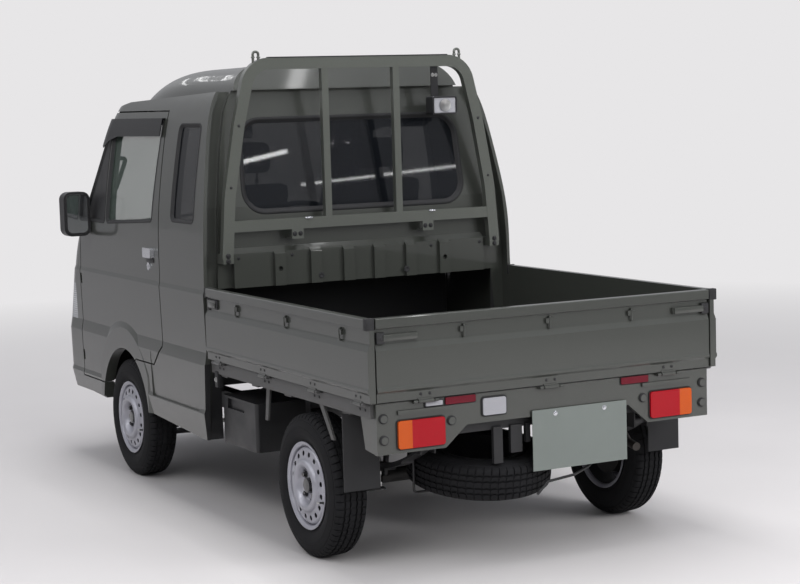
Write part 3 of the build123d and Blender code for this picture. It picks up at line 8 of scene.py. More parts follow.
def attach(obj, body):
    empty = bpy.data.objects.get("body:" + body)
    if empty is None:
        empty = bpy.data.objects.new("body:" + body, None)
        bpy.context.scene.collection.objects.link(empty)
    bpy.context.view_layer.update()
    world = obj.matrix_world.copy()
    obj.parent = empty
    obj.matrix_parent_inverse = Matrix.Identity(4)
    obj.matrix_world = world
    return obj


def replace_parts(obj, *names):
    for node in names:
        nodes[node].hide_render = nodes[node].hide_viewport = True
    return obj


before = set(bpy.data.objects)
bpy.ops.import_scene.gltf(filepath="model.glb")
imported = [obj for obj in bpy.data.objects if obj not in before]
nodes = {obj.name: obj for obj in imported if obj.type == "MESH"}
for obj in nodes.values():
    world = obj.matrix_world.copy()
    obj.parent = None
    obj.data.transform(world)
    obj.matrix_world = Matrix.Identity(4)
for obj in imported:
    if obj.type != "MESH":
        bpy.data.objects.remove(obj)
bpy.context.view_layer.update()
FORE, AFT, UP, DOWN = (1, 0, 0), (-1, 0, 0), (0, 0, 1), (0, 0, -1)
SIDES = (("left", 1), ("right", -1))

# Camera
CAMERA_AT = (-7.3771, 3.5738, 1.6707)
CAMERA_AZIMUTH = -27.6
CAMERA_ELEVATION = -5.76
CAMERA_ROLL = -1.66
CAMERA_LENS = 85.02

# Light: the world at the zenith and the horizon, and how much of the backdrop mirroring surfaces show
WORLD_STRENGTH = 0.75
HORIZON = 0.22
WORLD_COLOUR = (0.93, 0.94, 1.0)
REFLECTED_SHARE = 0.15
KEY_WATTS = 95.0
FILL_WATTS = 330.0
TOP_WATTS = 215.0
STRIP_WATTS = 60.0
OVERHEAD_WATTS = 24.0
FRONT_WATTS = 1.6
TUBE_WATTS = 1.0
TUBES_TOWARD = (-0.13, 0.0, 1.45)
BACKDROP_COLOUR = (0.80, 0.79, 0.80)
FLOOR_COLOUR = (0.50, 0.485, 0.485)
FLOOR_FADE = (2.6, 9.0)

# Paint and other colours, as linear values
PAINT = (0.0415, 0.0445, 0.0390)
# Painted light: a lighter copy of the body paint for the bed, which lifts the bed floor out of the gates'
# shade
BED_PAINT_LIGHTENED_FOR_SHADE = (0.056, 0.057, 0.058)
DUST = (0.16, 0.15, 0.135)
BLACK = (0.012, 0.012, 0.013)


# Materials


def plug(tree, socket, value):
    """Links a socket to another node's output, or sets its value."""
    if isinstance(value, bpy.types.NodeSocket):
        tree.links.new(value, socket)
    else:
        socket.default_value = (*value, 1.0) if socket.type == "RGBA" else value


def feed(tree, node, inputs):
    for key, value in inputs.items():
        plug(tree, node.inputs[key], value)
    return node


def add_node(tree, kind, inputs, **settings):
    """New node with its settings and its inputs, which are values or other nodes' outputs."""
    node = tree.nodes.new("ShaderNode" + kind)
    for name, value in settings.items():
        setattr(node, name, value)
    return feed(tree, node, inputs)


def new_material(name):
    """Material with an emptied node tree, its Principled shader and its coordinates."""
    material = bpy.data.materials.new(name)
    material.use_nodes = True
    tree = material.node_tree
    tree.nodes.clear()
    shader = add_node(tree, "BsdfPrincipled", {})
    add_node(tree, "OutputMaterial", {"Surface": shader.outputs["BSDF"]})
    return material, tree, shader, add_node(tree, "TexCoord", {}).outputs["Object"]


def noise(tree, coords, scale, detail=4.0, roughness=0.55):
    inputs = {"Scale": scale, "Detail": detail, "Roughness": roughness, "Vector": coords}
    return add_node(tree, "TexNoise", inputs).outputs["Fac"]


def wave(tree, coords, direction, scale, distortion=0.0):
    inputs = {"Scale": scale, "Distortion": distortion, "Vector": coords}
    return add_node(tree, "TexWave", inputs, bands_direction=direction).outputs["Fac"]


def calc(tree, operation, *values, **settings):
    """Result of a Math node on numbers or outputs."""
    return add_node(tree, "Math", dict(enumerate(values)), operation=operation, **settings).outputs["Value"]


def ramp(tree, value, low, high, a, b):
    """Maps a value's range low to high onto numbers a to b, clamped."""
    inputs = {"From Min": low, "From Max": high, "To Min": a, "To Max": b, "Value": value}
    return add_node(tree, "MapRange", inputs).outputs["Result"]


def mix_colour(tree, factor, a, b):
    node = add_node(tree, "Mix", {"Factor": factor}, data_type="RGBA")
    for socket, value in zip([s for s in node.inputs if s.type == "RGBA"], (a, b)):
        plug(tree, socket, value)
    return [s for s in node.outputs if s.type == "RGBA"][0]


def bump(tree, shader, height, strength, distance):
    node = add_node(tree, "Bump", {"Strength": strength, "Distance": distance, "Height": height})
    plug(tree, shader.inputs["Normal"], node.outputs["Normal"])


def tint(colour, factor):
    return tuple(min(1.0, c * factor) for c in colour)


def paint_material(name, colour, dust, roughness=0.34, coat=0.75):
    """Car paint: fine flakes, soft colour drift, a little road dust low down, clear coat."""
    material, tree, shader, coords = new_material(name)
    flakes = ramp(tree, noise(tree, coords, 900.0, 2.0), 0.35, 0.65, 0.0, 1.0)
    drift = ramp(tree, noise(tree, coords, 2.2), 0.35, 0.65, 0.0, 0.35)
    fine = mix_colour(tree, flakes, tint(colour, 0.86), tint(colour, 1.16))
    base = mix_colour(tree, drift, fine, tint(colour, 0.9))
    height = add_node(tree, "SeparateXYZ", {"Vector": coords}).outputs["Z"]
    low = ramp(tree, height, 0.30, 0.75, dust * 2.2, dust * 0.35)
    speckle = ramp(tree, noise(tree, coords, 28.0, 6.0, 0.65), 0.35, 0.7, 0.3, 1.0)
    dirt = calc(tree, "MULTIPLY", low, speckle)
    feed(tree, shader, {
        "Base Color": mix_colour(tree, dirt, base, DUST),
        "Roughness": ramp(tree, dirt, 0.0, 0.3, roughness, roughness + 0.25),
        "Metallic": 0.25, "Coat Weight": coat, "Coat Roughness": 0.06,
    })
    bump(tree, shader, noise(tree, coords, 45.0, 3.0), 0.02, 0.0006)
    return material


def plain_material(
    name, colour, roughness, metallic=0.0, grain=300.0, depth=0.15, spread=0.25, coat=0.0, gloss=0.5
):
    """Plastic, rubber or bare metal with grain, uneven gloss and slight colour drift."""
    material, tree, shader, coords = new_material(name)
    drift = noise(tree, coords, 14.0, 5.0)
    share = ramp(tree, drift, 0.3, 0.7, 0.0, 1.0)
    feed(tree, shader, {
        "Base Color": mix_colour(tree, share, tint(colour, 1.0 - spread), tint(colour, 1.0 + spread)),
        "Roughness": ramp(tree, drift, 0.3, 0.7, max(0.03, roughness - 0.07), roughness + 0.07),
        "Metallic": metallic, "Specular IOR Level": gloss, "Coat Weight": coat,
    })
    bump(tree, shader, noise(tree, coords, grain, 3.0), depth, 0.0004)
    return material


def fabric_material(name, colour):
    """Woven seat cloth."""
    material, tree, shader, coords = new_material(name)
    weave = calc(tree, "MULTIPLY", *(wave(tree, coords, direction, 260.0, 0.6) for direction in ("X", "Z")))
    base = mix_colour(tree, weave, tint(colour, 0.6), colour)
    feed(tree, shader, {"Base Color": base, "Roughness": 0.9, "Sheen Weight": 0.4})
    bump(tree, shader, weave, 0.35, 0.0008)
    return material


def glass_material(name, colour, opacity, gloss):
    """Tinted glass: a clear coat of gloss over a see-through tint."""
    material, tree, shader, coords = new_material(name)
    smear = ramp(tree, noise(tree, coords, 3.0), 0.3, 0.7, opacity * 0.96, min(1.0, opacity * 1.04))
    look = {"Base Color": colour, "Roughness": 0.02, "IOR": 1.5, "Specular IOR Level": gloss}
    feed(tree, shader, {**look, "Alpha": smear})
    return material


def lens_material(name, colour, glow=0.0, pitch=230.0):
    """Moulded lamp lens with vertical flutes under a smooth face, and a faint painted glow when glow is
    given.
    """
    material, tree, shader, coords = new_material(name)
    flutes = calc(tree, "MULTIPLY", wave(tree, coords, "Y", pitch), wave(tree, coords, "Z", pitch * 0.5))
    feed(tree, shader, {
        "Base Color": mix_colour(tree, flutes, tint(colour, 0.55), colour), "Roughness": 0.16,
        "Specular IOR Level": 0.22, "Coat Weight": 0.15, "Coat Roughness": 0.03,
    })
    # painted glow: emission on the lens of a lamp that is switched off
    if glow:
        feed(tree, shader, {"Emission Color": colour, "Emission Strength": glow})
    bump(tree, shader, flutes, 0.25, 0.0012)
    return material


paint = paint_material("body_paint", PAINT, 0.04)
gate_paint = paint_material("gate_paint", PAINT, 0.03)
# painted highlight: the guard frame's paint is the body paint made 1.9 times lighter, standing in for lamp
# reflections on its rails
guard_paint_with_painted_highlight = paint_material("guard_paint", tint(PAINT, 1.9), 0.05, roughness=0.28)
# painted light: the bed's paint is lighter than the body's so the shaded bed floor does not go black; its
# dust is real
bed_paint = paint_material("bed_paint", BED_PAINT_LIGHTENED_FOR_SHADE, 0.22, roughness=0.48, coat=0.25)
floor_paint = plain_material("cab_floor_mat", BLACK, 0.75, grain=180.0, depth=0.4)
black_plastic = plain_material("black_plastic", BLACK, 0.42, grain=900.0)
gloss_black = plain_material("gloss_black", (0.010, 0.010, 0.011), 0.16, grain=60.0, depth=0.01, coat=0.5)
dark_plastic = plain_material("dark_plastic", (0.020, 0.020, 0.022), 0.55, grain=1200.0, depth=0.3)
chassis_paint = plain_material("chassis_paint", (0.014, 0.014, 0.015), 0.5, grain=90.0, depth=0.2)
cast = plain_material("cast_iron", (0.030, 0.029, 0.028), 0.6, metallic=0.6, grain=220.0, depth=0.5)
alloy = plain_material("engine_alloy", (0.22, 0.22, 0.22), 0.5, metallic=0.9, grain=260.0, depth=0.5)
zinc = plain_material("zinc_steel", (0.50, 0.50, 0.49), 0.35, metallic=1.0, grain=200.0, depth=0.1)
pipe_steel = plain_material(
    "exhaust_steel", (0.055, 0.050, 0.046), 0.5, metallic=0.8, grain=60.0, depth=0.3, spread=0.5)
rubber = plain_material("rubber", (0.016, 0.016, 0.017), 0.7, grain=500.0, depth=0.2)
tyre_rubber = plain_material(
    "tyre_rubber", (0.0085, 0.0085, 0.0095), 0.78, grain=420.0, depth=0.2, spread=0.3, gloss=0.22)
rim_paint = plain_material(
    "rim_silver", (0.36, 0.36, 0.40), 0.42, metallic=0.55, grain=500.0, depth=0.03, spread=0.10, coat=0.2)
cloth = fabric_material("seat_cloth", (0.045, 0.045, 0.050))
window = glass_material("privacy_glass", (0.007, 0.008, 0.010), 0.78, 0.35)
clear_glass = glass_material("clear_glass", (0.085, 0.12, 0.10), 0.30, 0.4)
smoke = glass_material("visor_smoke", (0.004, 0.004, 0.005), 0.95, 0.35)
# The red and amber lenses of the unlit lamps get a faint painted glow
red_lens = lens_material("red_lens", (0.40, 0.002, 0.010), glow=0.05)
reflector_lens = lens_material("reflector_lens", (0.15, 0.003, 0.014), pitch=400.0)
amber_lens = lens_material("amber_lens", (0.60, 0.095, 0.010), glow=0.05)
clear_lens = lens_material("clear_lens", (0.42, 0.42, 0.45))
head_lens = lens_material("headlamp_lens", (0.55, 0.56, 0.58), pitch=60.0)
plate_paint = plain_material("plate_paint", (0.135, 0.152, 0.142), 0.42, grain=120.0, depth=0.05, spread=0.03)
bright_trim = plain_material(
    "bright_trim", (0.62, 0.63, 0.66), 0.22, metallic=0.85, grain=260.0, depth=0.03, spread=0.08, coat=0.4)
mirror_glass = plain_material(
    "mirror_glass", (0.75, 0.77, 0.78), 0.03, metallic=1.0, grain=20.0, depth=0.0, spread=0.02)

# Materials of the CAD nodes; those with several are set below, and the others have the body's paint
MATERIAL_OF = {
    name: material
    for material, names in (
        (floor_paint, "cab_floor"),
        (black_plastic, "front_grille work_lamp battery_box door_left_fittings door_right_fittings"),
        (dark_plastic, "dashboard steering_column steering_wheel"),
        (cloth, "seats"),
        (chassis_paint, "seat_bases chassis_frame rear_springs prop_shaft fuel_tank front_suspension"),
        (chassis_paint, "spare_carrier spare_rim"),
        (bed_paint, "bed_floor"),
        (gate_paint, "bed_front_wall side_gate_left side_gate_right tailgate rear_panel"),
        (guard_paint_with_painted_highlight, "guard_frame"),
        (head_lens, "headlamps"),
        (plate_paint, "number_plate"),
        (cast, "rear_axle knuckle_left knuckle_right"),
        (alloy, "engine"),
        (pipe_steel, "exhaust"),
        (rubber, "mud_flaps"),
        (zinc, "rack_bar"),
        (tyre_rubber, "spare_tyre tyre_front_left tyre_front_right tyre_rear_left tyre_rear_right"),
        (rim_paint, "rim_front_left rim_front_right rim_rear_left rim_rear_right"),
    )
    for name in names.split()
}


def set_material(name, *choices):
    """Gives a node its first material, and each later one to the faces that pass its test."""
    mesh = nodes[name].data
    mesh.materials.clear()
    for material, _ in choices:
        mesh.materials.append(material)
    for face in mesh.polygons:
        face.material_index = 0
        for index, (_, test) in enumerate(choices):
            if test is not None and test(face.center, face.normal):
                face.material_index = index


def on_mirror(c, n):
    """The rear face of a mirror's housing."""
    return c.x < 1.2095 and n.x < -0.9 and 0.760 < abs(c.y) < 0.838 and 1.151 < c.z < 1.275


for name in nodes:
    set_material(name, (MATERIAL_OF.get(name, paint), None))
set_material(
    "rear_lamps", (red_lens, None),
    (amber_lens, lambda c, n: abs(c.y) > 0.565 and c.z < 0.60),
    (clear_lens, lambda c, n: 0.17 < c.y < 0.295 and c.z > 0.55),
    (reflector_lens, lambda c, n: 0.300 < abs(c.y) < 0.435 and c.z > 0.60),
)
for side, _ in SIDES:
    set_material(
        "door_%s_glass" % side, (clear_glass, None),
        (black_plastic, lambda c, n: c.x > 1.002),
        (smoke, lambda c, n: c.z > 1.50 and abs(c.y) > 0.678 - (c.z - 1.50) * 0.22),
    )
    set_material(
        "door_%s_fittings" % side, (black_plastic, None),
        (bright_trim, lambda c, n: c.x < 0.60),
        (mirror_glass, on_mirror),
    )
    set_material(
        "cab_side_" + side, (paint, None),
        # painted shade: the rear-facing lower faces of the painted side get near-black chassis paint, for the
        # shaded gap behind the cab
        (chassis_paint, lambda c, n: c.x < -0.160 and c.z < 0.62 and n.x < -0.9),
    )
set_material("cab_glass", (window, None), (clear_glass, lambda c, n: c.x > 0.9))
set_material("work_lamp", (black_plastic, None), (clear_lens, lambda c, n: c.x < -0.2475 and c.z < 1.70))


# Mesh toolkit


def ring(centre, side, up, wide, high, sides):
    """Points round a centre, reaching wide along side and high along up."""
    turns = [2 * math.pi * k / sides for k in range(sides)]
    return [centre + side * (math.cos(a) * wide) + up * (math.sin(a) * high) for a in turns]


def strip(a, b, count):
    """Faces between two rings of the same number of points, from their first indices."""
    return [(a + i, a + (i + 1) % count, b + (i + 1) % count, b + i) for i in range(count)]


class Piece:
    """Collects faces in one or more materials and makes one object of them."""

    def __init__(self, name, body, slot, *materials, place=None):
        self.name, self.body, self.slot, self.materials = name, body, slot, materials
        self.points, self.faces, self.kinds = [], [], []
        self.place = Matrix.Identity(4) if place is None else place

    def add(self, points, faces, kind=0):
        base = len(self.points)
        order = -1 if self.place.determinant() < 0 else 1
        self.points += [self.place @ Vector(p) for p in points]
        self.faces += [[base + i for i in face][::order] for face in faces]
        self.kinds += [kind] * len(faces)

    def box(self, low, high, kind=0, edge=0.0015, turn=None, segments=2):
        """Box between two corners with rounded edges, turned about its centre if asked."""
        low, high = Vector(map(min, low, high)), Vector(map(max, low, high))
        size = high - low
        mesh = bmesh.new()
        bmesh.ops.create_cube(mesh, size=1.0)
        for vert in mesh.verts:
            vert.co = vert.co * size
        bmesh.ops.bevel(
            mesh, geom=list(mesh.edges), offset=min(edge, min(size) * 0.45), segments=segments, profile=0.5,
            affect="EDGES",
        )
        place = Matrix.Translation((low + high) / 2)
        if turn is not None:
            place = place @ turn.to_4x4()
        mesh.verts.index_update()
        self.add([place @ v.co for v in mesh.verts], [[v.index for v in f.verts] for f in mesh.faces], kind)
        mesh.free()

    def loft(self, sections, kind=0, closed=False, caps=True):
        """Skin through rings of the same number of points."""
        count, rings = len(sections[0]), len(sections)
        faces = []
        for r in range(rings if closed else rings - 1):
            faces += strip(r * count, (r + 1) % rings * count, count)
        if caps and not closed:
            faces.append(tuple(reversed(range(count))))
            faces.append(tuple(range((rings - 1) * count, rings * count)))
        self.add([p for section in sections for p in section], faces, kind)

    def tube(self, path, radius, kind=0, sides=12, closed=False, flat=None):
        """Round bar along a path; flat gives a second radius across it."""
        path = [Vector(p) for p in path]
        count = len(path)
        sections, side = [], None
        for i, p in enumerate(path):
            ahead = path[(i + 1) % count] if closed or i < count - 1 else p
            behind = path[i - 1] if closed or i > 0 else p
            along = (ahead - behind).normalized()
            if side is None:
                side = (along.orthogonal() if flat is None else Vector(UP).cross(along)).normalized()
            side = (side - along * side.dot(along)).normalized()
            sections.append(ring(p, side, along.cross(side), radius, radius if flat is None else flat, sides))
        self.loft(sections, kind, closed)

    def hoop(self, x, outline, radius, kind=0):
        """Closed bead along an outline of (y, z) at one x."""
        self.tube([(x, p.x, p.y) for p in outline], radius, kind, 8, closed=True)

    def lathe(self, profile, at, axis, kind=0, sides=24, caps=True):
        """Turned form: profile of (distance along the axis, radius) from the point at."""
        at, axis = Vector(at), Vector(axis).normalized()
        side = axis.orthogonal().normalized()
        up = axis.cross(side)
        self.loft([ring(at + axis * along, side, up, r, r, sides) for along, r in profile], kind, caps=caps)

    def bolt(self, at, axis, radius, kind=0, height=None, washer=True):
        """Hexagon bolt head with a chamfered top on its washer."""
        height = radius * 0.9 if height is None else height
        foot = height * 0.25 if washer else 0.0
        if washer:
            plate = [(-0.001, radius * 1.45), (foot * 0.8, radius * 1.45), (foot, radius * 1.35)]
            self.lathe(plate, at, axis, kind, 20)
        head = [(-0.001, radius), (foot + height * 0.8, radius), (foot + height, radius * 0.8)]
        self.lathe(head, at, axis, kind, 6)

    def screw(self, at, axis, radius, kind=0):
        """Pan-head screw."""
        dome = [(radius * along, radius * out) for along, out in ((0.18, 1.0), (0.42, 0.75), (0.52, 0.35))]
        self.lathe([(-0.001, radius)] + dome, at, axis, kind, 16)

    def done(self, smooth_angle=38.0):
        mesh = bpy.data.meshes.new(self.name)
        mesh.from_pydata([tuple(p) for p in self.points], [], self.faces)
        for material in self.materials:
            mesh.materials.append(material)
        mesh.polygons.foreach_set("material_index", self.kinds)
        mesh.update()
        mesh.shade_smooth()
        mesh.set_sharp_from_angle(angle=math.radians(smooth_angle))
        obj = new_object(self.name, mesh)
        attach(obj, self.body)
        return obj


def new_object(name, data):
    """Object of a mesh, lamp or camera, linked to the scene."""
    obj = bpy.data.objects.new(name, data)
    bpy.context.scene.collection.objects.link(obj)
    return obj


def rounded(corners, radius, steps=8, longest=0.03):
    """Closed outline of 2-D points with arcs at its corners and its straight runs divided."""
    outline = []
    corners = [Vector(c) for c in corners]
    for i, corner in enumerate(corners):
        back = (corners[i - 1] - corner).normalized()
        ahead = (corners[(i + 1) % len(corners)] - corner).normalized()
        half = back.angle(ahead) / 2
        centre = corner + (back + ahead).normalized() * (radius / math.sin(half))
        start = corner + back * (radius / math.tan(half)) - centre
        end = corner + ahead * (radius / math.tan(half)) - centre
        sweep = start.angle(end)
        for k in range(steps + 1):
            t = k / steps
            arm = start * math.sin((1 - t) * sweep) + end * math.sin(t * sweep)
            outline.append(centre + arm / math.sin(sweep))
    divided = []
    for i, p in enumerate(outline):
        ahead = outline[(i + 1) % len(outline)]
        parts = max(1, math.ceil((ahead - p).length / longest))
        divided += [p.lerp(ahead, k / parts) for k in range(parts)]
    return divided


def rounded_oblong(y0, z0, y1, z1, radius, steps=5, longest=0.03):
    """Upright oblong between two corners, with arcs at its corners."""
    return rounded([(y0, z0), (y1, z0), (y1, z1), (y0, z1)], radius, steps, longest)


def bend_path(points, radius, steps=6):
    """Open 3-D path whose corners are rounded."""
    points = [Vector(p) for p in points]
    path = [points[0]]
    for before, corner, after in zip(points, points[1:], points[2:]):
        back, ahead = (before - corner).normalized(), (after - corner).normalized()
        reach = min(radius, (before - corner).length * 0.49, (after - corner).length * 0.49)
        a, b = corner + back * reach, corner + ahead * reach
        for k in range(steps + 1):
            t = k / steps
            path.append(a * (1 - t) ** 2 + corner * (2 * t * (1 - t)) + b * t**2)
    return path + [points[-1]]


def surface(*names):
    """Search tree over the faces of some CAD nodes."""
    points, faces = [], []
    for name in names:
        base = len(points)
        mesh = nodes[name].data
        points += [v.co.copy() for v in mesh.vertices]
        faces += [[base + i for i in p.vertices] for p in mesh.polygons]
    return BVHTree.FromPolygons(points, faces)


def touch(tree, start, toward):
    """Where a ray first meets a surface, and the surface's normal on the ray's side."""
    toward = Vector(toward).normalized()
    at, normal, _, _ = tree.ray_cast(Vector(start), toward)
    return (at, normal if normal.dot(toward) < 0 else -normal) if at is not None else (None, None)


def outward(outline):
    """Unit normals of a closed 2-D outline, pointing away from its inside."""
    area = sum(a.x * b.y - b.x * a.y for a, b in zip(outline, outline[1:] + outline[:1]))
    sign = 1.0 if area > 0 else -1.0
    alongs = [(outline[(i + 1) % len(outline)] - outline[i - 1]).normalized() for i in range(len(outline))]
    return [Vector((along.y, -along.x)) * sign for along in alongs]


# Wheels

AXLE_FRONT_X = 0.7875
AXLE_REAR_X = -1.1125
WHEEL_Y = 0.650
HUB_Z = 0.268
PITCHES = 58
ZIGZAG = 0.0016
GROOVE_LEAN = 3.2
# Fractions of one tread pitch, with how far the lateral grooves are cut and how far the zigzag swings there
PITCH_STEPS = (
    (0.0, 0.0, -1.0), (0.25, 0.0, 0.0), (0.41, 0.0, 0.75), (0.44, 1.0, 0.9), (0.56, 1.0, 0.9),
    (0.59, 0.0, 0.75), (0.75, 0.0, 0.0),
)
# Half profile of the tread: distance out from its middle, radius, share of the zigzag, lateral grooves' depth
TREAD = (
    (0.0000, 0.2680, 0.0, 0.0022), (0.0092, 0.2679, 1.0, 0.0022), (0.0100, 0.2614, 1.0, 0.0),
    (0.0158, 0.2613, 1.0, 0.0), (0.0166, 0.2677, 1.0, 0.0030), (0.0230, 0.2674, 0.3, 0.0034),
    (0.0300, 0.2671, 1.0, 0.0030), (0.0308, 0.2606, 1.0, 0.0), (0.0366, 0.2604, 1.0, 0.0),
    (0.0374, 0.2666, 1.0, 0.0058), (0.0450, 0.2656, 0.0, 0.0060), (0.0520, 0.2628, 0.0, 0.0060),
    (0.0565, 0.2585, 0.0, 0.0058), (0.0590, 0.2545, 0.0, 0.0045), (0.0612, 0.2500, 0.0, 0.0015),
)
# The tyre's wall goes on from it: distance out, radius
WALL = (
    (0.0630, 0.2478), (0.0637, 0.2440), (0.0632, 0.2426), (0.0655, 0.2412), (0.0690, 0.2320),
    (0.0712, 0.2220), (0.0719, 0.2168), (0.0711, 0.2160), (0.0722, 0.2150), (0.0722, 0.2060),
    (0.0710, 0.1960), (0.0682, 0.1860), (0.0640, 0.1770), (0.0628, 0.1755), (0.0622, 0.1762),
    (0.0610, 0.1740), (0.0595, 0.1690), (0.0585, 0.1525),
)


def make_tyre(name, node, body, place):
    """Road tyre with a zigzag tread cut by lateral grooves, and moulded rings on its walls."""
    half = list(TREAD) + [(y, r, 0.0, 0.0) for y, r in WALL]
    columns = [(-y, r, z, d) for y, r, z, d in reversed(half[1:])] + half
    points, faces = [], []
    for p in range(PITCHES):
        for step, cut, swing in PITCH_STEPS:
            for y, r, zig, depth in columns:
                lean = abs(y) * GROOVE_LEAN if zig or depth else 0.0
                a = 2 * math.pi * (p + step + lean) / PITCHES
                radius = r - cut * depth
                points.append((radius * math.cos(a), y + ZIGZAG * zig * swing, radius * math.sin(a)))
    count, rings = len(columns), PITCHES * len(PITCH_STEPS)
    for r in range(rings):
        faces += strip(r * count, (r + 1) % rings * count, count)
    piece = Piece(name, body, "tyre", tyre_rubber, place=place)
    piece.add(points, faces)
    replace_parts(piece.done(32.0), node)


VENTS = 16
VENT_CIRCLE_R = 0.1200
VENT_R = 0.0098
BAND_HALF = 0.0140
SKIN = 0.0035
HUB_FACE_Y = 0.046
# Half of the closed section of the rim's barrel, which is symmetric, as (radius, distance inwards)
BARREL = (
    (0.1521, 0.0590), (0.1602, 0.0600), (0.1632, 0.0612), (0.1640, 0.0630), (0.1634, 0.0650),
    (0.1595, 0.0652), (0.1500, 0.0600), (0.1480, 0.0560),
)
# Outer skin of the disc outside its vented band, and inside it down to the hub face
DISC_OUTER = (
    (0.1481, 0.0440), (0.1462, 0.0458), (0.1440, 0.0500), (0.1405, 0.0555), (0.1370, 0.0582),
    (0.1340, 0.0590),
)
DISC_INNER = (
    (0.1060, 0.0622), (0.1020, 0.0628), (0.0995, 0.0645), (0.0975, 0.0690), (0.0945, 0.0732),
    (0.0895, 0.0762), (0.0830, 0.0766), (0.0760, 0.0742), (0.0700, 0.0680), (0.0655, 0.0580),
    (0.0625, 0.0498), (0.0590, 0.0464), (0.0560, 0.0460), (0.0300, 0.0460),
)


def turned_section(piece, section, kind, steps=112):
    """Ring turned about the wheel's axis from a closed section of (radius, distance outwards)."""
    turns = [2 * math.pi * (k + 0.5) / steps for k in range(steps)]
    sections = [[Vector((r * math.cos(a), y, r * math.sin(a))) for r, y in section] for a in turns]
    piece.loft(sections, kind, closed=True)


def vented_band(piece):
    """Band of the disc between its turned parts: equal fields with a round vent each, and their back skin,
    near-black as painted shade inside the wheel.
    """
    edge = [(-1 + k / 4, -1) for k in range(8)] + [(1, -1 + k / 2) for k in range(4)]
    edge += [(1 - k / 4, 1) for k in range(8)] + [(-1, 1 - k / 2) for k in range(4)]
    count = len(edge)
    outer_y, inner_y = DISC_OUTER[-1][1], DISC_INNER[0][1]
    for field in range(VENTS):
        middle = 2 * math.pi * (field + 0.5) / VENTS
        points = []
        for back in (0.0, SKIN):
            for share in (0.0, 0.45, 0.8, 1.0):
                for u, v in edge:
                    turn = math.atan2(v, u)
                    hole_r = VENT_CIRCLE_R + VENT_R * math.sin(turn)
                    hole_a = VENT_R * math.cos(turn) / VENT_CIRCLE_R
                    r = (VENT_CIRCLE_R + BAND_HALF * v) * (1 - share) + hole_r * share
                    a = middle + (math.pi / VENTS * u) * (1 - share) + hole_a * share
                    y = outer_y + (inner_y - outer_y) * (VENT_CIRCLE_R + BAND_HALF - r) / (2 * BAND_HALF)
                    dip = 0.0012 if share == 1.0 and not back else 0.0
                    points.append((r * math.cos(a), y - back - dip, r * math.sin(a)))
        # three rings of faces in front and the wall of the hole, then the back's three rings, turned over
        front, rear = [], []
        for a, b in ((0, 1), (1, 2), (2, 3), (3, 7)):
            front += strip(a * count, b * count, count)
        for a in (4, 5, 6):
            rear += [(q, p, s, r) for p, q, r, s in strip(a * count, (a + 1) * count, count)]
        piece.add(points, front, 0)
        piece.add(points, rear, 1)


def make_rim(name, node, body, place):
    """Pressed steel wheel with its flange, vented band, raised ring and hub recess."""
    piece = Piece(name, body, "rim_paint", rim_paint, chassis_paint, place=place)
    turned_section(piece, [(r, -y) for r, y in BARREL] + list(reversed(BARREL)), 0)
    for line in (DISC_OUTER, DISC_INNER):
        turned_section(piece, list(line) + [(r, y - SKIN) for r, y in reversed(line)], 0)
    # painted shade: a thin near-black liner inside the barrel darkens the wheel's inside as seen through the
    # vents
    turned_section(piece, [(0.1478, 0.0400), (0.1478, -0.0500), (0.1470, -0.0500), (0.1470, 0.0400)], 1)
    vented_band(piece)
    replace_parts(piece.done(30.0), node)


def make_rim_trim(name, body, place):
    """Hub cover, wheel nuts and valve of one road wheel."""
    piece = Piece(name, body, "rim_paint", gloss_black, zinc, rubber, chassis_paint, place=place)
    out = (0, 1, 0)

    def on_disc(degrees, radius, y):
        a = math.radians(degrees)
        return (radius * math.cos(a), y, radius * math.sin(a))

    cover = [(0.0, 0.0295), (0.010, 0.0290), (0.0175, 0.0262), (0.0182, 0.020), (0.0186, 0.0)]
    piece.lathe(cover, (0, HUB_FACE_Y, 0), out, 0, 40)
    washer = [(-0.001, 0.0135), (0.003, 0.0130), (0.0035, 0.0105)]
    for turn in (45, 135, 225, 315):
        piece.lathe(washer, on_disc(turn, 0.050, HUB_FACE_Y), out, 3, 20)
        piece.bolt(on_disc(turn, 0.050, HUB_FACE_Y + 0.002), out, 0.0098, 0, height=0.0115, washer=False)
    for turn in (0, 90, 180, 270):
        piece.lathe([(-0.0015, 0.0045), (0.0004, 0.0042)], on_disc(turn, 0.053, HUB_FACE_Y), out, 3, 12)
    valve, tilt = on_disc(198, 0.1405, 0.0510), on_disc(198, -0.35, 1.0)
    piece.lathe([(-0.004, 0.006), (0.006, 0.0055), (0.010, 0.0040), (0.022, 0.0036)], valve, tilt, 2, 14)
    piece.lathe([(0.0215, 0.0042), (0.030, 0.0042), (0.031, 0.0032)], valve, tilt, 1, 12)
    piece.done()


def make_wheels():
    for end, x in (("front", AXLE_FRONT_X), ("rear", AXLE_REAR_X)):
        for side, s in SIDES:
            place = Matrix.Translation((x, s * WHEEL_Y, HUB_Z)) @ Matrix.Diagonal((1, s, 1, 1))
            corner = "_%s_%s" % (end, side)
            make_tyre("tread" + corner, "tyre" + corner, "wheel" + corner, place)
            make_rim("wheel_disc" + corner, "rim" + corner, "wheel" + corner, place)
            make_rim_trim("wheel_trim" + corner, "wheel" + corner, place)
    lie = Matrix.Rotation(math.radians(-8.0), 4, "Y") @ Matrix.Rotation(math.radians(-90.0), 4, "X")
    make_tyre("tread_spare", "spare_tyre", "truck", Matrix.Translation((-1.400, 0.140, 0.334)) @ lie)


# Window rubbers

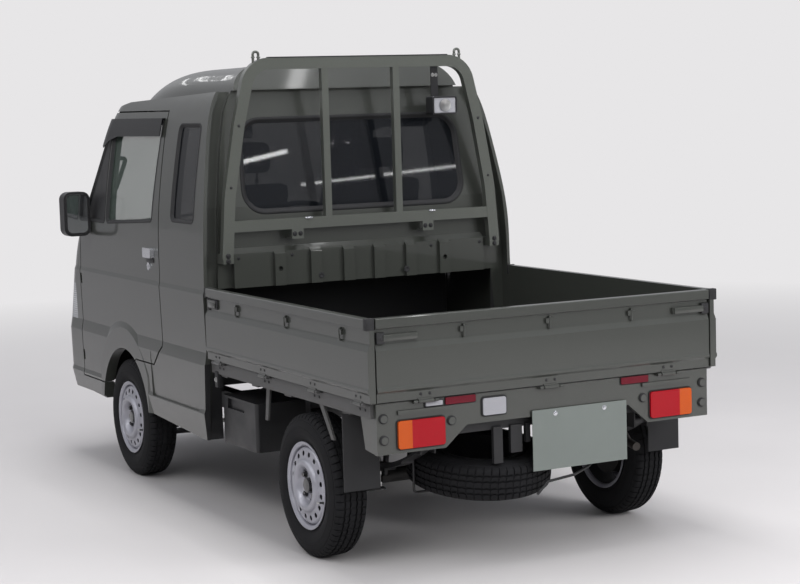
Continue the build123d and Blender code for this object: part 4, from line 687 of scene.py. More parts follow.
# Sections of the seals: distance outwards from the opening's edge, height over the body
SEAL_SECTION = (
    (0.011, -0.001), (0.0105, 0.0012), (0.007, 0.0030), (0.001, 0.0034), (-0.003, 0.0010),
    (-0.006, -0.0060), (-0.012, -0.0092), (-0.014, -0.0112), (-0.004, -0.0120), (0.001, -0.0040),
)
DOOR_SECTION = (
    (0.006, -0.001), (0.0055, 0.0010), (0.004, 0.0018), (0.000, 0.0020), (-0.003, 0.0004),
    (-0.005, -0.0060), (-0.010, -0.0092), (-0.012, -0.0112), (-0.004, -0.0120), (0.001, -0.0040),
)
REAR_WINDOW = [(-0.520, 1.231), (0.520, 1.231), (0.508, 1.612), (-0.508, 1.612)]
QUARTER_WINDOW = [(-0.095, 1.195), (0.165, 1.195), (0.165, 1.600), (-0.080, 1.600)]
SCREEN = [(-0.620, 1.078), (0.620, 1.078), (0.545, 1.628), (-0.545, 1.628)]
DOOR_REAR_PANE = [(0.398, 1.182), (0.368, 1.612), (0.990, 1.612), (0.990, 1.152)]
DOOR_FRONT_PANE = [(1.014, 1.152), (1.014, 1.612), (1.0488, 1.612), (1.313, 1.152)]


def seal(piece, outline, to_ray, tree, section):
    """Rubber round an opening, laid on the body's surface; to_ray gives a 2-D point's ray towards it."""
    near, far = 0.006, 0.014
    sections = []
    for p, n in zip(outline, outward(outline)):
        (at, normal), (beyond, _) = (touch(tree, *to_ray(p + n * reach)) for reach in (near, far))
        if at is None or beyond is None:
            continue
        across = (beyond - at).normalized()
        sections.append([at + across * (u - near) + normal * h for u, h in section])
    piece.loft(sections, 0, closed=True)


def from_end(x):
    return lambda p: ((x, p.x, p.y), FORE if x < 0 else AFT)


def from_side(s):
    return lambda p: ((p.x, s * 1.5, p.y), (0, -s, 0))


def make_seals():
    wall, shell = ["cab_rear_wall"], ["cab_side_left", "cab_side_right", "cab_nose", "cab_roof"]
    jobs = [
        ("rear_window_seal", "truck", wall, [(REAR_WINDOW, 0.092)], from_end(-1.0), SEAL_SECTION),
        ("screen_seal", "truck", shell, [(SCREEN, 0.055)], from_end(2.5), SEAL_SECTION),
    ]
    for side, s in SIDES:
        door, cab_side = "door_" + side, "cab_side_" + side
        quarter, panes = [(QUARTER_WINDOW, 0.028)], [(DOOR_REAR_PANE, 0.022), (DOOR_FRONT_PANE, 0.022)]
        jobs.append(("quarter_seal_" + side, "truck", [cab_side], quarter, from_side(s), DOOR_SECTION))
        jobs.append(("door_seals_" + side, door, [door], panes, from_side(s), DOOR_SECTION))
    for name, body, under, openings, to_ray, section in jobs:
        piece = Piece(name, body, "black_plastic", rubber)
        tree = surface(*under)
        for corners, radius in openings:
            seal(piece, rounded(corners, radius), to_ray, tree, section)
        piece.done(50)


# Load bed fittings

GATE_FACE_Y = 0.723
TAILGATE_BAND_X = -1.680
RAIL_TOP_Z = 0.938
SIDE_HINGE_XS = (-0.330, -0.780, -1.230, -1.600)


def rope_hook(piece, at, out):
    """Bent rod that leaves the gate, drops and turns up again."""
    out, up, at = Vector(out), Vector(UP), Vector(at)
    corners = ((-0.004, 0.012), (0.009, 0.012), (0.0095, -0.030), (-0.004, -0.030))
    piece.tube(bend_path([at + out * u + up * v for u, v in corners], 0.007), 0.0036, 0, 10)


def screw_pairs(piece, places, gap, out, radius, kind):
    """Two screws at each place, gap apart along the truck or across it, whichever the face runs."""
    along = Vector((0, 1, 0) if out == AFT else FORE)
    for place in places:
        for s in (-1, 1):
            piece.screw(Vector(place) + along * (s * gap / 2), out, radius, kind)


def make_side_gate_fittings(side, s):
    """Hooks, the latch at the front end, rubber end caps on the rail, and the screws of the hinges."""
    gate = "side_gate_" + side
    piece = Piece("side_gate_fittings_" + side, gate, "gate_paint", gate_paint, chassis_paint, rubber)
    out = (0, s, 0)
    for x in (-0.540, -1.008, -1.474):
        rope_hook(piece, (x, s * GATE_FACE_Y, 0.878), out)
    # keeper, lever and end plate: x and height of two corners, how far they lie out from the gate's face
    for x0, z0, x1, z1, low, high, kind, edge in (
        (-0.345, 0.858, -0.262, 0.896, -0.003, 0.0075, 1, 0.002),
        (-0.334, 0.864, -0.268, 0.884, 0.0075, 0.013, 0, 0.003),
        (-0.262, 0.850, -0.236, 0.897, -0.004, 0.006, 1, 0.002),
    ):
        piece.box((x0, s * (GATE_FACE_Y + low), z0), (x1, s * (GATE_FACE_Y + high), z1), kind, edge)
    piece.screw((-0.256, s * (GATE_FACE_Y - 0.001), 0.877), out, 0.0065, 1)
    for x0, x1 in ((-1.691, -1.668), (-0.236, -0.2235)):
        piece.box((x0, s * 0.7030, 0.8985), (x1, s * 0.7362, RAIL_TOP_Z + 0.0022), 2, 0.0025)
    screw_pairs(piece, [(x, s * 0.7275, 0.664) for x in SIDE_HINGE_XS], 0.036, out, 0.0055, 1)
    piece.done()


def make_tailgate_fittings():
    """Hooks, a latch at each end and the screws of the hinges."""
    piece = Piece("tailgate_fittings", "tailgate", "gate_paint", gate_paint, chassis_paint)
    for y in (-0.352, 0.0, 0.352):
        rope_hook(piece, (TAILGATE_BAND_X, y, 0.880), AFT)
    for s in (-1, 1):
        # lever with a rolled grip, its pivot and the hook plate that reaches round the corner
        piece.box((-1.6905, s * 0.540, 0.8585), (-1.6955, s * 0.672, 0.8815), 0, 0.0022)
        piece.box((-1.680, s * 0.664, 0.8500), (-1.6935, s * 0.697, 0.8900), 1, 0.003)
        piece.screw((-1.6915, s * 0.681, 0.870), AFT, 0.008, 1)
        piece.box((-1.6800, s * 0.6985, 0.846), (-1.6660, s * 0.6995, 0.896), 1, 0.0004)
    screw_pairs(piece, [(-1.6853, y, 0.664) for y in (-0.511, 0.0, 0.511)], 0.036, AFT, 0.0055, 1)
    piece.done()


# Rear panel, guard frame and work lamp

PANEL_X = -1.674


def make_rear_fittings():
    """Gaskets of the lamps and reflectors, rubber stops, plate lamp and plate bolts."""
    looks = (rubber, bright_trim, clear_lens, chassis_paint)
    piece = Piece("rear_panel_fittings", "truck", "black_plastic", *looks)
    stop = [
        (0.0, 0.0175), (0.003, 0.0175), (0.0055, 0.0150), (0.0078, 0.0140),
        (0.0080, 0.0075), (0.0055, 0.0065), (0.0055, 0.0),
    ]
    for s in (-1, 1):
        for y, z, wide, high, corner, thick, out in (
            (0.527, 0.527, 0.0950, 0.0520, 0.012, 0.0035, 0.0050),
            (0.368, 0.628, 0.0625, 0.0150, 0.005, 0.0022, 0.0030),
        ):
            outline = rounded_oblong(s * y - wide, z - high, s * y + wide, z + high, corner)
            piece.hoop(PANEL_X - out * 0.5, outline, thick * 0.6)
        for y, z in ((0.672, 0.589), (0.671, 0.514), (0.405, 0.557)):
            piece.lathe(stop, (PANEL_X - 0.001, s * y, z), AFT, 0, 28)
            piece.screw((PANEL_X - 0.0060, s * y, z), AFT, 0.0050, 3)
    piece.hoop(PANEL_X - 0.003, rounded_oblong(0.1820, 0.5585, 0.2820, 0.6255, 0.010), 0.0026)
    piece.box((PANEL_X - 0.0085, 0.440, 0.6165), (PANEL_X + 0.002, 0.508, 0.6345), 2, 0.003)
    piece.hoop(PANEL_X - 0.001, rounded_oblong(0.437, 0.6140, 0.511, 0.6370, 0.004, 4), 0.0022)
    for y in (-0.229, -0.019):
        piece.bolt((PANEL_X - 0.0088, y, 0.540), AFT, 0.0062, 1, height=0.0035)
    piece.done()


def make_guard_fittings():
    """Rubber strip on the guard frame's top, bolts of its brackets and legs, and its rope hooks' feet."""
    piece = Piece("guard_fittings", "truck", "black_plastic", rubber, chassis_paint, guard_paint_with_painted_highlight)
    foot = [(0.0, 0.0085), (0.004, 0.0080), (0.006, 0.0055)]
    piece.box((-0.2455, -0.418, 1.8625), (-0.2125, 0.418, 1.8675), 0, 0.0015)
    for y in (-0.302, 0.314):
        for dy in (-0.012, 0.014):
            piece.bolt((-0.2428, y + dy, 1.137), AFT, 0.0070, 1, height=0.005)
        piece.bolt((-0.2000, y, 1.1215), UP, 0.0065, 1, height=0.005)
    for s in (-1, 1):
        for z in (1.040, 1.062):
            piece.bolt((-0.2440, s * 0.630, z), AFT, 0.0075, 1, height=0.006)
        for dy in (-0.012, 0.012):
            piece.lathe(foot, (-0.229, s * 0.471 + dy, 1.8638), UP, 2, 16)
        for y, z in ((0.606, 1.340), (0.562, 1.590)):
            piece.screw((-0.2441, s * y, z), AFT, 0.0060, 1)
    piece.done()


def make_rail_clips():
    """Bright clips on the guard frame's cross rail."""
    piece = Piece("rail_clips", "truck", "bright_steel", bright_trim)
    for y in (0.262, -0.322):
        piece.box((-0.2475, y - 0.016, 1.196), (-0.2415, y + 0.016, 1.2045), 0, 0.002)
        piece.screw((-0.2470, y, 1.200), AFT, 0.0052, 0)
    piece.done()


def make_work_lamp_details():
    """Bezel, reflector and bracket bolts of the work lamp."""
    piece = Piece("work_lamp_details", "truck", "black_plastic", black_plastic, zinc)
    piece.hoop(-0.2485, rounded_oblong(-0.4525, 1.6135, -0.3405, 1.6845, 0.008), 0.0042)
    bowl = [(0.0, 0.0), (0.001, 0.010), (0.0042, 0.024), (0.0050, 0.026)]
    piece.lathe(bowl, (-0.2482, -0.3965, 1.649), AFT, 1, 30, caps=False)
    for y in (-0.375, -0.359):
        piece.bolt((-0.2145, y, 1.780), AFT, 0.0055, 1, height=0.004)
    piece.done()


# Seats

SEAT_Y = 0.330
# Front and rear faces of the backrest as lines of (height, x)
BACK_FRONT = ((0.812, 0.441), (0.960, 0.414), (1.345, 0.330))
BACK_REAR = ((0.812, 0.341), (0.960, 0.322), (1.345, 0.247))
CLOTH_FRAMES = 20


def along_line(line, z):
    """Value of a broken line of (z, value) at a height."""
    for (z0, a), (z1, b) in zip(line, line[1:]):
        if z <= z1 or (z1, b) == line[-1]:
            return a + (b - a) * (z - z0) / (z1 - z0)


def settled_mesh(obj):
    """Mesh of an object as its modifiers leave it, which are then removed."""
    mesh = bpy.data.meshes.new_from_object(obj.evaluated_get(bpy.context.evaluated_depsgraph_get()))
    obj.modifiers.clear()
    return mesh


def padded_mesh(name, low, high, corner, shape, foot, voxel, cap):
    """Rounded block, shaped, remeshed evenly and swollen by cloth pressure, held below the height foot."""
    piece = Piece(name, "truck", "seat_fabric", cloth)
    piece.box(low, high, 0, corner, segments=6)
    mesh = bpy.data.meshes.new(name)
    mesh.from_pydata([tuple(shape(p)) for p in piece.points], [], piece.faces)
    obj = new_object(name, mesh)
    remesh = obj.modifiers.new("remesh", "REMESH")
    remesh.mode = "VOXEL"
    remesh.voxel_size = voxel
    obj.data = settled_mesh(obj)
    rest = [v.co.copy() for v in obj.data.vertices]
    held = obj.vertex_groups.new(name="held")
    held.add([i for i, p in enumerate(rest) if p.z < foot], 1.0, "REPLACE")
    modifier = obj.modifiers.new("cloth", "CLOTH")
    settings = modifier.settings
    settings.quality = 4
    settings.mass = 0.25
    settings.tension_stiffness = 14.0
    settings.compression_stiffness = 14.0
    settings.bending_stiffness = 0.6
    settings.use_pressure = True
    settings.uniform_pressure_force = 4.0
    settings.vertex_group_mass = "held"
    settings.effector_weights.gravity = 0.0
    modifier.point_cache.frame_start = 1
    modifier.point_cache.frame_end = CLOTH_FRAMES
    for number in range(1, CLOTH_FRAMES + 1):
        bpy.context.scene.frame_set(number)
    swollen = settled_mesh(obj)
    obj.vertex_groups.clear()
    for vert, start in zip(swollen.vertices, rest):
        move = vert.co - start
        if move.length > cap:
            vert.co = start + move * (cap / move.length)
    obj.data = swollen
    bpy.context.scene.frame_set(1)
    return obj


def groove(value, at, width, depth):
    """Depth of a sewn channel at a distance from its line."""
    return depth * math.exp(-(((value - at) / width) ** 2))


def sew(obj, depth_at):
    """Presses sewn channels into a pad along its own normals, then smooths it with one subdivision."""
    normals = [v.normal.copy() for v in obj.data.vertices]
    for vert, normal in zip(obj.data.vertices, normals):
        vert.co -= normal * depth_at(vert.co, normal)
    obj.modifiers.new("smooth", "SUBSURF").levels = 1
    obj.data = settled_mesh(obj)
    obj.data.materials.clear()
    obj.data.materials.append(cloth)
    obj.data.shade_smooth()


def quilted(value, lines, across, half):
    """Depth of the cross channels of a pad, which end at its outer channels."""
    inside = 1.0 / (1.0 + math.exp((abs(across) - half) / 0.004))
    return max(groove(value, line, 0.0055, 0.007) for line in lines) * inside


def cushion_depth(p, n):
    if n.z < 0.2:
        return groove(p.z, 0.770, 0.004, 0.004)
    edge = groove(abs(p.y), 0.142, 0.0050, 0.008) if p.x > 0.40 else 0.0
    return max(quilted(p.x, (0.430, 0.510, 0.590, 0.670), p.y, 0.135), edge)


def back_depth(p, n):
    if n.x < 0.2:
        return groove(abs(p.y), 0.190, 0.004, 0.004)
    edge = groove(abs(p.y), 0.137, 0.0050, 0.008) if p.z < 1.225 else 0.0
    upper = groove(p.z, 1.225, 0.0050, 0.008)
    return max(quilted(p.z, (0.900, 0.985, 1.070, 1.155), p.y, 0.130), edge, upper)


def head_depth(p, n):
    return groove(p.x, 0.256, 0.003, 0.003)


def leaning(p):
    """Point of the backrest from its share of the way from the rear face to the front one."""
    rear, front = along_line(BACK_REAR, p.z), along_line(BACK_FRONT, p.z)
    return Vector((rear + (front - rear) * p.x, p.y, p.z))


# Name, two corners, rounding, shaping, top of the held foot, voxel size, farthest move, depth of the channels
PADS = (
    (
        "cushion", (0.342, -0.221, 0.692), (0.799, 0.221, 0.799), 0.030, Vector, 0.705, 0.0085, 0.0105,
        cushion_depth,
    ),
    ("back", (0.0, -0.213, 0.824), (1.0, 0.213, 1.334), 0.030, leaning, 0.836, 0.0085, 0.0100, back_depth),
    (
        "headrest", (0.224, -0.119, 1.376), (0.296, 0.119, 1.510), 0.032, Vector, 1.384, 0.0065, 0.0090,
        head_depth,
    ),
)


def make_seats():
    """Cushion, back and headrest of the left seat by cloth simulation, with copies for the right seat."""
    for name, low, high, corner, shape, foot, voxel, cap, depth_at in PADS:
        pad = padded_mesh("seat_%s_left" % name, low, high, corner, shape, foot, voxel, cap)
        sew(pad, depth_at)
        other = new_object("seat_%s_right" % name, pad.data.copy())
        for obj, y in ((pad, SEAT_Y), (other, -SEAT_Y)):
            obj.data.transform(Matrix.Translation((0, y, 0)))
            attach(obj, "truck")
        if name == "cushion":
            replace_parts(pad, "seats")
    posts = Piece("headrest_posts", "truck", "seat_fabric", bright_trim, black_plastic)
    rails = Piece("seat_rails", "truck", "dark_steel", chassis_paint, black_plastic)
    for y in (SEAT_Y, -SEAT_Y):
        for s in (-1, 1):
            post_y, rail_y = y + s * 0.060, y + s * 0.225
            posts.tube([(0.2700, post_y, 1.322), (0.2640, post_y, 1.384)], 0.0060, 0, 14)
            posts.lathe([(0.0, 0.013), (0.004, 0.012), (0.007, 0.008)], (0.2705, post_y, 1.338), UP, 1, 16)
            rails.box((0.350, rail_y - s * 0.004, 0.694), (0.790, rail_y + s * 0.003, 0.716), 0, 0.002)
        rails.box((0.345, y - 0.2275, 0.800), (0.395, y - 0.2300, 0.860), 1, 0.001)
    posts.done()
    rails.done()


# Details laid on the CAD surfaces


def touch_front(tree, y, z):
    return touch(tree, (2.5, y, z), AFT)


def block(piece, centre, half, kind=0, edge=0.0015, turn=None, segments=2):
    """Box by its centre and half size."""
    centre, half = Vector(centre), Vector(half)
    piece.box(centre - half, centre + half, kind, edge, turn, segments)


def sheet(piece, rows, kind, thick, inward):
    """Thin panel through a grid of points, with its thickness towards a direction."""
    inward = Vector(inward) * thick
    last_row, last = len(rows) - 1, len(rows[0]) - 1
    outer = [p for row in rows for p in row]
    shift = len(outer)

    def index(r, i):
        return r * (last + 1) + i

    faces = []
    for r in range(last_row):
        for i in range(last):
            a, b = index(r, i), index(r + 1, i)
            faces += [(a, a + 1, b + 1, b), (shift + a, shift + b, shift + b + 1, shift + a + 1)]
    edge = [index(0, i) for i in range(last + 1)] + [index(r, last) for r in range(1, last_row + 1)]
    edge += [index(last_row, i) for i in range(last - 1, -1, -1)]
    edge += [index(r, 0) for r in range(last_row - 1, 0, -1)]
    faces += [(a, b, shift + b, shift + a) for a, b in zip(edge, edge[1:] + edge[:1])]
    piece.add(outer + [p + inward for p in outer], faces, kind)


def make_screen_details():
    """Wipers at the foot of the windscreen, and the mirror inside it."""
    glass = surface("cab_glass")
    skin = surface("cab_nose", "cab_side_left", "cab_side_right")
    piece = Piece("wipers", "truck", "black_plastic", black_plastic, rubber)
    for pivot_y, tip_y, heel_y in ((0.500, 0.010, 0.470), (-0.060, -0.550, -0.090)):
        reach = tip_y - heel_y
        foot, out = touch_front(skin, pivot_y, 1.050)
        piece.lathe([(-0.004, 0.021), (0.006, 0.020), (0.016, 0.015), (0.019, 0.006)], foot, out, 0, 24)
        blade = [touch_front(glass, heel_y + reach * k / 18, 1.108 + 0.022 * k / 18) for k in range(19)]
        piece.tube([a + n * 0.0065 for a, n in blade], 0.0022, 1, 8, flat=0.0060)
        piece.tube([a + n * 0.0135 for a, n in blade[1:-1]], 0.0055, 0, 8, flat=0.0030)
        middle, normal = blade[9]
        knee = foot + out * 0.024 + Vector((-0.004, reach * 0.10, 0.012))
        arm = bend_path([foot + out * 0.014, knee, middle + normal * 0.026], 0.05)
        piece.tube(arm, 0.0065, 0, 8, flat=0.0035)
        block(piece, middle + normal * 0.019, (0.008, 0.016, 0.008), 0, 0.003)
    piece.done()
    piece = Piece("inner_mirror", "truck", "black_plastic", black_plastic, mirror_glass)
    at, normal = touch(glass, (0.6, 0.0, 1.585), FORE)
    centre = Vector((at.x - 0.075, 0.0, 1.545))
    piece.lathe([(-0.003, 0.022), (0.006, 0.020), (0.010, 0.012)], at, normal, 0, 24)
    stem = [at + normal * 0.004, centre + Vector((0.030, 0, 0.018)), centre + Vector((0.012, 0, 0))]
    piece.tube(stem, 0.0065, 0, 12)
    block(piece, centre, (0.013, 0.115, 0.033), 0, 0.011, segments=4)
    block(piece, centre - Vector((0.0131, 0, 0)), (0.0011, 0.106, 0.025), 1, 0.0006)
    piece.done()


def make_roof_grips():
    """Grips on the windscreen pillars, and the two sun visors."""
    piece = Piece("grips_and_visors", "truck", "dark_plastic", dark_plastic, cloth)
    lean = Matrix.Rotation(math.radians(14), 3, "Y")
    for side, s in reversed(SIDES):
        inside = surface("cab_side_" + side)
        ends = []
        for z in (1.280, 1.440):
            hits = [touch(inside, (1.04 + 0.012 * k, 0.0, z), (0, s, 0))[0] for k in range(24)]
            ends += [at for at in hits if at is not None and 0.48 < abs(at.y) < 0.64][:1]
        if len(ends) == 2:
            a, b = ends
            inwards = Vector((-0.030, -s * 0.040, 0.0))
            piece.tube(bend_path([a, a + inwards, b + inwards, b], 0.035, 8), 0.0105, 0, 14)
        piece.box((0.985, s * 0.070, 1.612), (1.115, s * 0.470, 1.628), 1, 0.007, lean, 4)
    piece.done()


DASH_X = 1.236


def make_dash_details():
    """Binnacle with gauges, vents, radio, knobs and glove box."""
    piece = Piece("dash_details", "truck", "dark_plastic", dark_plastic, gloss_black, bright_trim, clear_lens)
    hood = []
    for y, top in (
        (-0.505, 1.078), (-0.480, 1.105), (-0.430, 1.122), (-0.330, 1.130), (-0.230, 1.122), (-0.180, 1.105),
        (-0.155, 1.078),
    ):
        hood.append([Vector((x, y, z)) for x, z in (
            (1.212, top), (1.262, top + 0.006), (1.330, top - 0.020), (1.330, 1.050),
            (1.290, 1.050), (1.256, top - 0.012), (1.218, top - 0.010),
        )])
    piece.loft(hood, 0)
    piece.box((1.262, -0.495, 1.000), (1.288, -0.165, 1.105), 1, 0.004)
    for y, r in ((-0.330, 0.044), (-0.425, 0.030), (-0.235, 0.030)):
        bezel = [(0.0, r), (0.004, r), (0.005, r - 0.003), (0.002, r - 0.004)]
        piece.lathe(bezel, (1.2625, y, 1.060), AFT, 2, 40, caps=False)
        piece.lathe([(0.0, 0.006), (0.006, 0.005)], (1.2625, y, 1.060), AFT, 0, 16)
    # vents with their slats
    for y in (-0.600, -0.085, 0.085, 0.600):
        piece.box((DASH_X - 0.004, y - 0.048, 0.985), (DASH_X + 0.030, y + 0.048, 1.043), 1, 0.006)
        piece.hoop(DASH_X - 0.005, rounded_oblong(y - 0.046, 0.987, y + 0.046, 1.041, 0.010), 0.0035, 2)
        for k in range(5):
            block(piece, (DASH_X - 0.006, y, 0.99425 + 0.0100 * k), (0.004, 0.043, 0.00075), 0, 0.0006)
    # radio with its window and knobs, then the heater's knobs
    piece.box((DASH_X - 0.007, -0.092, 0.905), (DASH_X + 0.010, 0.092, 0.972), 1, 0.004)
    piece.box((DASH_X - 0.009, -0.060, 0.918), (DASH_X - 0.005, 0.060, 0.958), 3, 0.001)
    for y in (-0.080, 0.080):
        piece.lathe([(0.0, 0.009), (0.012, 0.008), (0.014, 0.006)], (DASH_X - 0.006, y, 0.938), AFT, 2, 24)
    for y in (-0.062, 0.0, 0.062):
        knob = [(0.0, 0.020), (0.004, 0.020), (0.006, 0.016), (0.020, 0.015), (0.021, 0.012)]
        piece.lathe(knob, (DASH_X, y, 0.868), AFT, 0, 30)
        piece.box((DASH_X - 0.024, y - 0.002, 0.868), (DASH_X - 0.020, y + 0.002, 0.882), 2, 0.0008)
    piece.hoop(DASH_X + 0.0005, rounded_oblong(0.170, 0.850, 0.530, 0.960, 0.014, 6), 0.0018, 1)
    piece.box((DASH_X - 0.009, 0.310, 0.925), (DASH_X + 0.002, 0.390, 0.945), 0, 0.004)
    piece.done()


def make_controls():
    """Shift lever in its boot, hand brake and three pedals."""
    piece = Piece("shift_and_pedals", "truck", "dark_plastic", dark_plastic, bright_trim, rubber)
    boot = [(0.0, 0.062), (0.010, 0.058), (0.030, 0.040), (0.060, 0.020), (0.078, 0.013)]
    knob = [(0.0, 0.013), (0.010, 0.020), (0.026, 0.0235), (0.042, 0.019), (0.048, 0.009), (0.049, 0.0)]
    piece.lathe(boot, (1.030, -0.015, 0.612), UP, 2, 30)
    lever = bend_path([(1.030, -0.015, 0.680), (1.022, -0.018, 0.760), (0.985, -0.022, 0.838)], 0.05)
    piece.tube(lever, 0.0062, 1, 14)
    piece.lathe(knob, (0.984, -0.022, 0.834), (-0.42, -0.05, 0.9), 0, 28)
    piece.tube([(0.905, 0.035, 0.620), (0.780, 0.035, 0.675)], 0.0080, 1, 12)
    piece.tube([(0.800, 0.035, 0.666), (0.715, 0.035, 0.703)], 0.0140, 0, 16)
    lean = Matrix.Rotation(math.radians(-22), 3, "Y")
    for y, wide, low in ((-0.215, 0.026, 0.500), (-0.335, 0.034, 0.545), (-0.440, 0.034, 0.545)):
        arm = bend_path([(1.405, y, 0.822), (1.420, y, 0.700), (1.372, y, low + 0.010)], 0.08)
        piece.tube(arm, 0.0065, 0, 12)
        block(piece, (1.363, y, low), (0.005, wide, 0.035), 2, 0.004, lean)
        for k in range(4):
            block(piece, (1.3565, y, low - 0.0235 + 0.016 * k), (0.0025, wide * 0.9, 0.0025), 2, 0.001, lean)
    piece.done()


def make_door_details(side, s):
    """Trim inside the door with its armrest, pocket and winder, and the cup and key slot outside."""
    body = "door_" + side
    door = surface(body)
    inwards = (0, -s, 0)
    looks = (dark_plastic, cloth, bright_trim, black_plastic)
    piece = Piece("door_trim_" + side, body, "dark_plastic", *looks)
    rows = []
    for i in range(15):
        z = 0.640 + (1.120 - 0.640) * i / 14
        xs = [0.375 + (1.300 - 0.375) * k / 20 for k in range(21)]
        hits = [touch(door, (x, 0.0, z), (0, s, 0))[0] for x in xs]
        met = [(x, at.y) for x, at in zip(xs, hits) if at is not None and 0.60 < abs(at.y) < 0.73]
        row = [Vector((x, y - s * 0.001, z)) for x, y in met]
        if len(row) == len(xs):
            rows.append(row)
    if len(rows) > 2:
        sheet(piece, rows, 0, 0.006, inwards)
    inner, _ = touch(door, (0.80, 0.0, 0.93), (0, s, 0))
    y = inner.y - s * 0.006
    # armrest, cloth panel, pocket, inner handle's recess and its lever
    for x0, z0, x1, z1, foot, top, kind, edge, segments in (
        (0.560, 0.905, 0.900, 0.945, 0.0, 0.048, 0, 0.014, 4),
        (0.600, 0.985, 1.050, 1.075, 0.0, 0.010, 1, 0.005, 3),
        (0.520, 0.665, 1.020, 0.775, 0.0, 0.034, 0, 0.012, 4),
        (1.120, 0.985, 1.200, 1.020, 0.0, 0.016, 3, 0.006, 2),
        (1.130, 0.994, 1.188, 1.010, 0.014, 0.022, 2, 0.003, 2),
    ):
        piece.box((x0, y - s * foot, z0), (x1, y - s * top, z1), kind, edge, segments=segments)
    # window winder
    piece.lathe([(0.0, 0.026), (0.010, 0.024), (0.014, 0.012)], (0.760, y - s * 0.002, 0.850), inwards, 0, 28)
    crank = ((0.760, 0.018, 0.850), (0.700, 0.026, 0.862), (0.655, 0.030, 0.868))
    piece.tube([(x, y - s * out, z) for x, out, z in crank], 0.0075, 0, 12)
    piece.lathe([(0.0, 0.012), (0.028, 0.013), (0.032, 0.010)], (0.655, y - s * 0.030, 0.868), inwards, 0, 20)
    # outside: shadowed cup behind the handle's lower edge, and the key slot
    outer, _ = touch(door, (0.410, s * 1.5, 1.012), inwards)
    piece.box((0.366, outer.y - s * 0.002, 1.004), (0.454, outer.y + s * 0.0035, 1.0225), 3, 0.0015)
    piece.box((0.4188, s * 0.7345, 0.979), (0.4212, s * 0.7356, 0.993), 3, 0.0003)
    piece.done()
    # mirror glass in its bezel, over the housing's rear face
    piece = Piece("mirror_" + side, body, "black_plastic", mirror_glass, black_plastic)
    outline = rounded_oblong(0.7400, 1.0960, 0.8430, 1.2780, 0.026, 8, 0.05)
    if s < 0:
        outline = [Vector((-q.x, q.y)) for q in reversed(outline)]
    piece.loft([[Vector((x, q.x, q.y)) for q in outline] for x in (1.2005, 1.1975)], 0)
    piece.hoop(1.1985, outline, 0.0030, 1)
    piece.done(60)


def make_nose_details():
    """Grille fins, intake fins, lamp surrounds with their reflectors, turn signals and the front tow eye."""
    nose = surface("cab_nose", "front_grille", "front_bumper")
    lamps = surface("headlamps")
    looks = (black_plastic, bright_trim, amber_lens, chassis_paint)
    piece = Piece("nose_details", "truck", "black_plastic", *looks)
    for count, first, step, z, low, high, near in (
        (41, -0.410, 0.0205, 0.785, 0.722, 0.786, 0.010),
        (37, -0.378, 0.0210, 0.506, 0.426, 0.508, 0.012),
    ):
        for k in range(count):
            y = first + step * k
            at, _ = touch_front(nose, y, z)
            if at is not None:
                piece.box((at.x - 0.036, y - 0.0016, low), (at.x - near, y + 0.0016, high), 0, 0.0006)
    for s in (-1, 1):
        outline = rounded([(0.462, 0.690), (0.462, 0.800), (0.700, 0.835), (0.700, 0.668)], 0.014, 5)
        hits = [touch_front(lamps, s * min(q.x, 0.694), q.y) for q in outline]
        piece.tube([at + normal * 0.001 for at, normal in hits if at is not None], 0.0032, 0, 8, closed=True)
        at, normal = touch_front(lamps, s * 0.560, 0.748)
        bowl = [(-0.002, 0.046), (0.0016, 0.046), (0.0022, 0.043), (0.0006, 0.041)]
        piece.lathe(bowl, at, normal, 1, 40, caps=False)
        piece.lathe([(-0.001, 0.0129), (0.0018, 0.0110), (0.0024, 0.0046)], at, normal, 1, 24)
        at, normal = touch_front(lamps, s * 0.655, 0.755)
        dome = [(-0.003, 0.0220), (0.0010, 0.0215), (0.0026, 0.0160), (0.0034, 0.0080), (0.0036, 0.0)]
        piece.lathe(dome, at, normal, 2, 30)
    piece.lathe([(-0.030, 0.013), (0.004, 0.013), (0.006, 0.009)], (1.640, 0.300, 0.380), FORE, 3, 20)
    piece.done()


def make_bed_details():
    """Bolts of the bed floor and the front wall, and the plugs in the wall."""
    bed, wall = surface("bed_floor"), surface("bed_front_wall")
    piece = Piece("bed_bolts", "truck", "bed_paint", bed_paint, chassis_paint, rubber)
    head = [(-0.001, 0.0150), (0.0008, 0.0145), (0.0030, 0.0110), (0.0042, 0.0060), (0.0044, 0.0)]
    plug_cap = [(-0.001, 0.0135), (0.0015, 0.0130), (0.0022, 0.0080), (0.0010, 0.0060), (0.0010, 0.0)]
    for x in (-0.320, -0.640, -0.960, -1.280, -1.580):
        for y in (-0.560, -0.190, 0.190, 0.560):
            at, normal = touch(bed, (x, y, 0.90), DOWN)
            piece.lathe(head, at, normal, 0, 22)
    for y in (-0.572, -0.330, 0.330, 0.572):
        at, normal = touch(wall, (-0.60, y, 1.048), FORE)
        if at is not None:
            piece.screw(at, normal, 0.0070, 1)
    for y in (-0.200, 0.205):
        at, normal = touch(wall, (-0.60, y, 0.955), FORE)
        if at is not None:
            piece.lathe(plug_cap, at, normal, 2, 24)
    piece.done()


DIFFERENTIAL_Y = -0.150


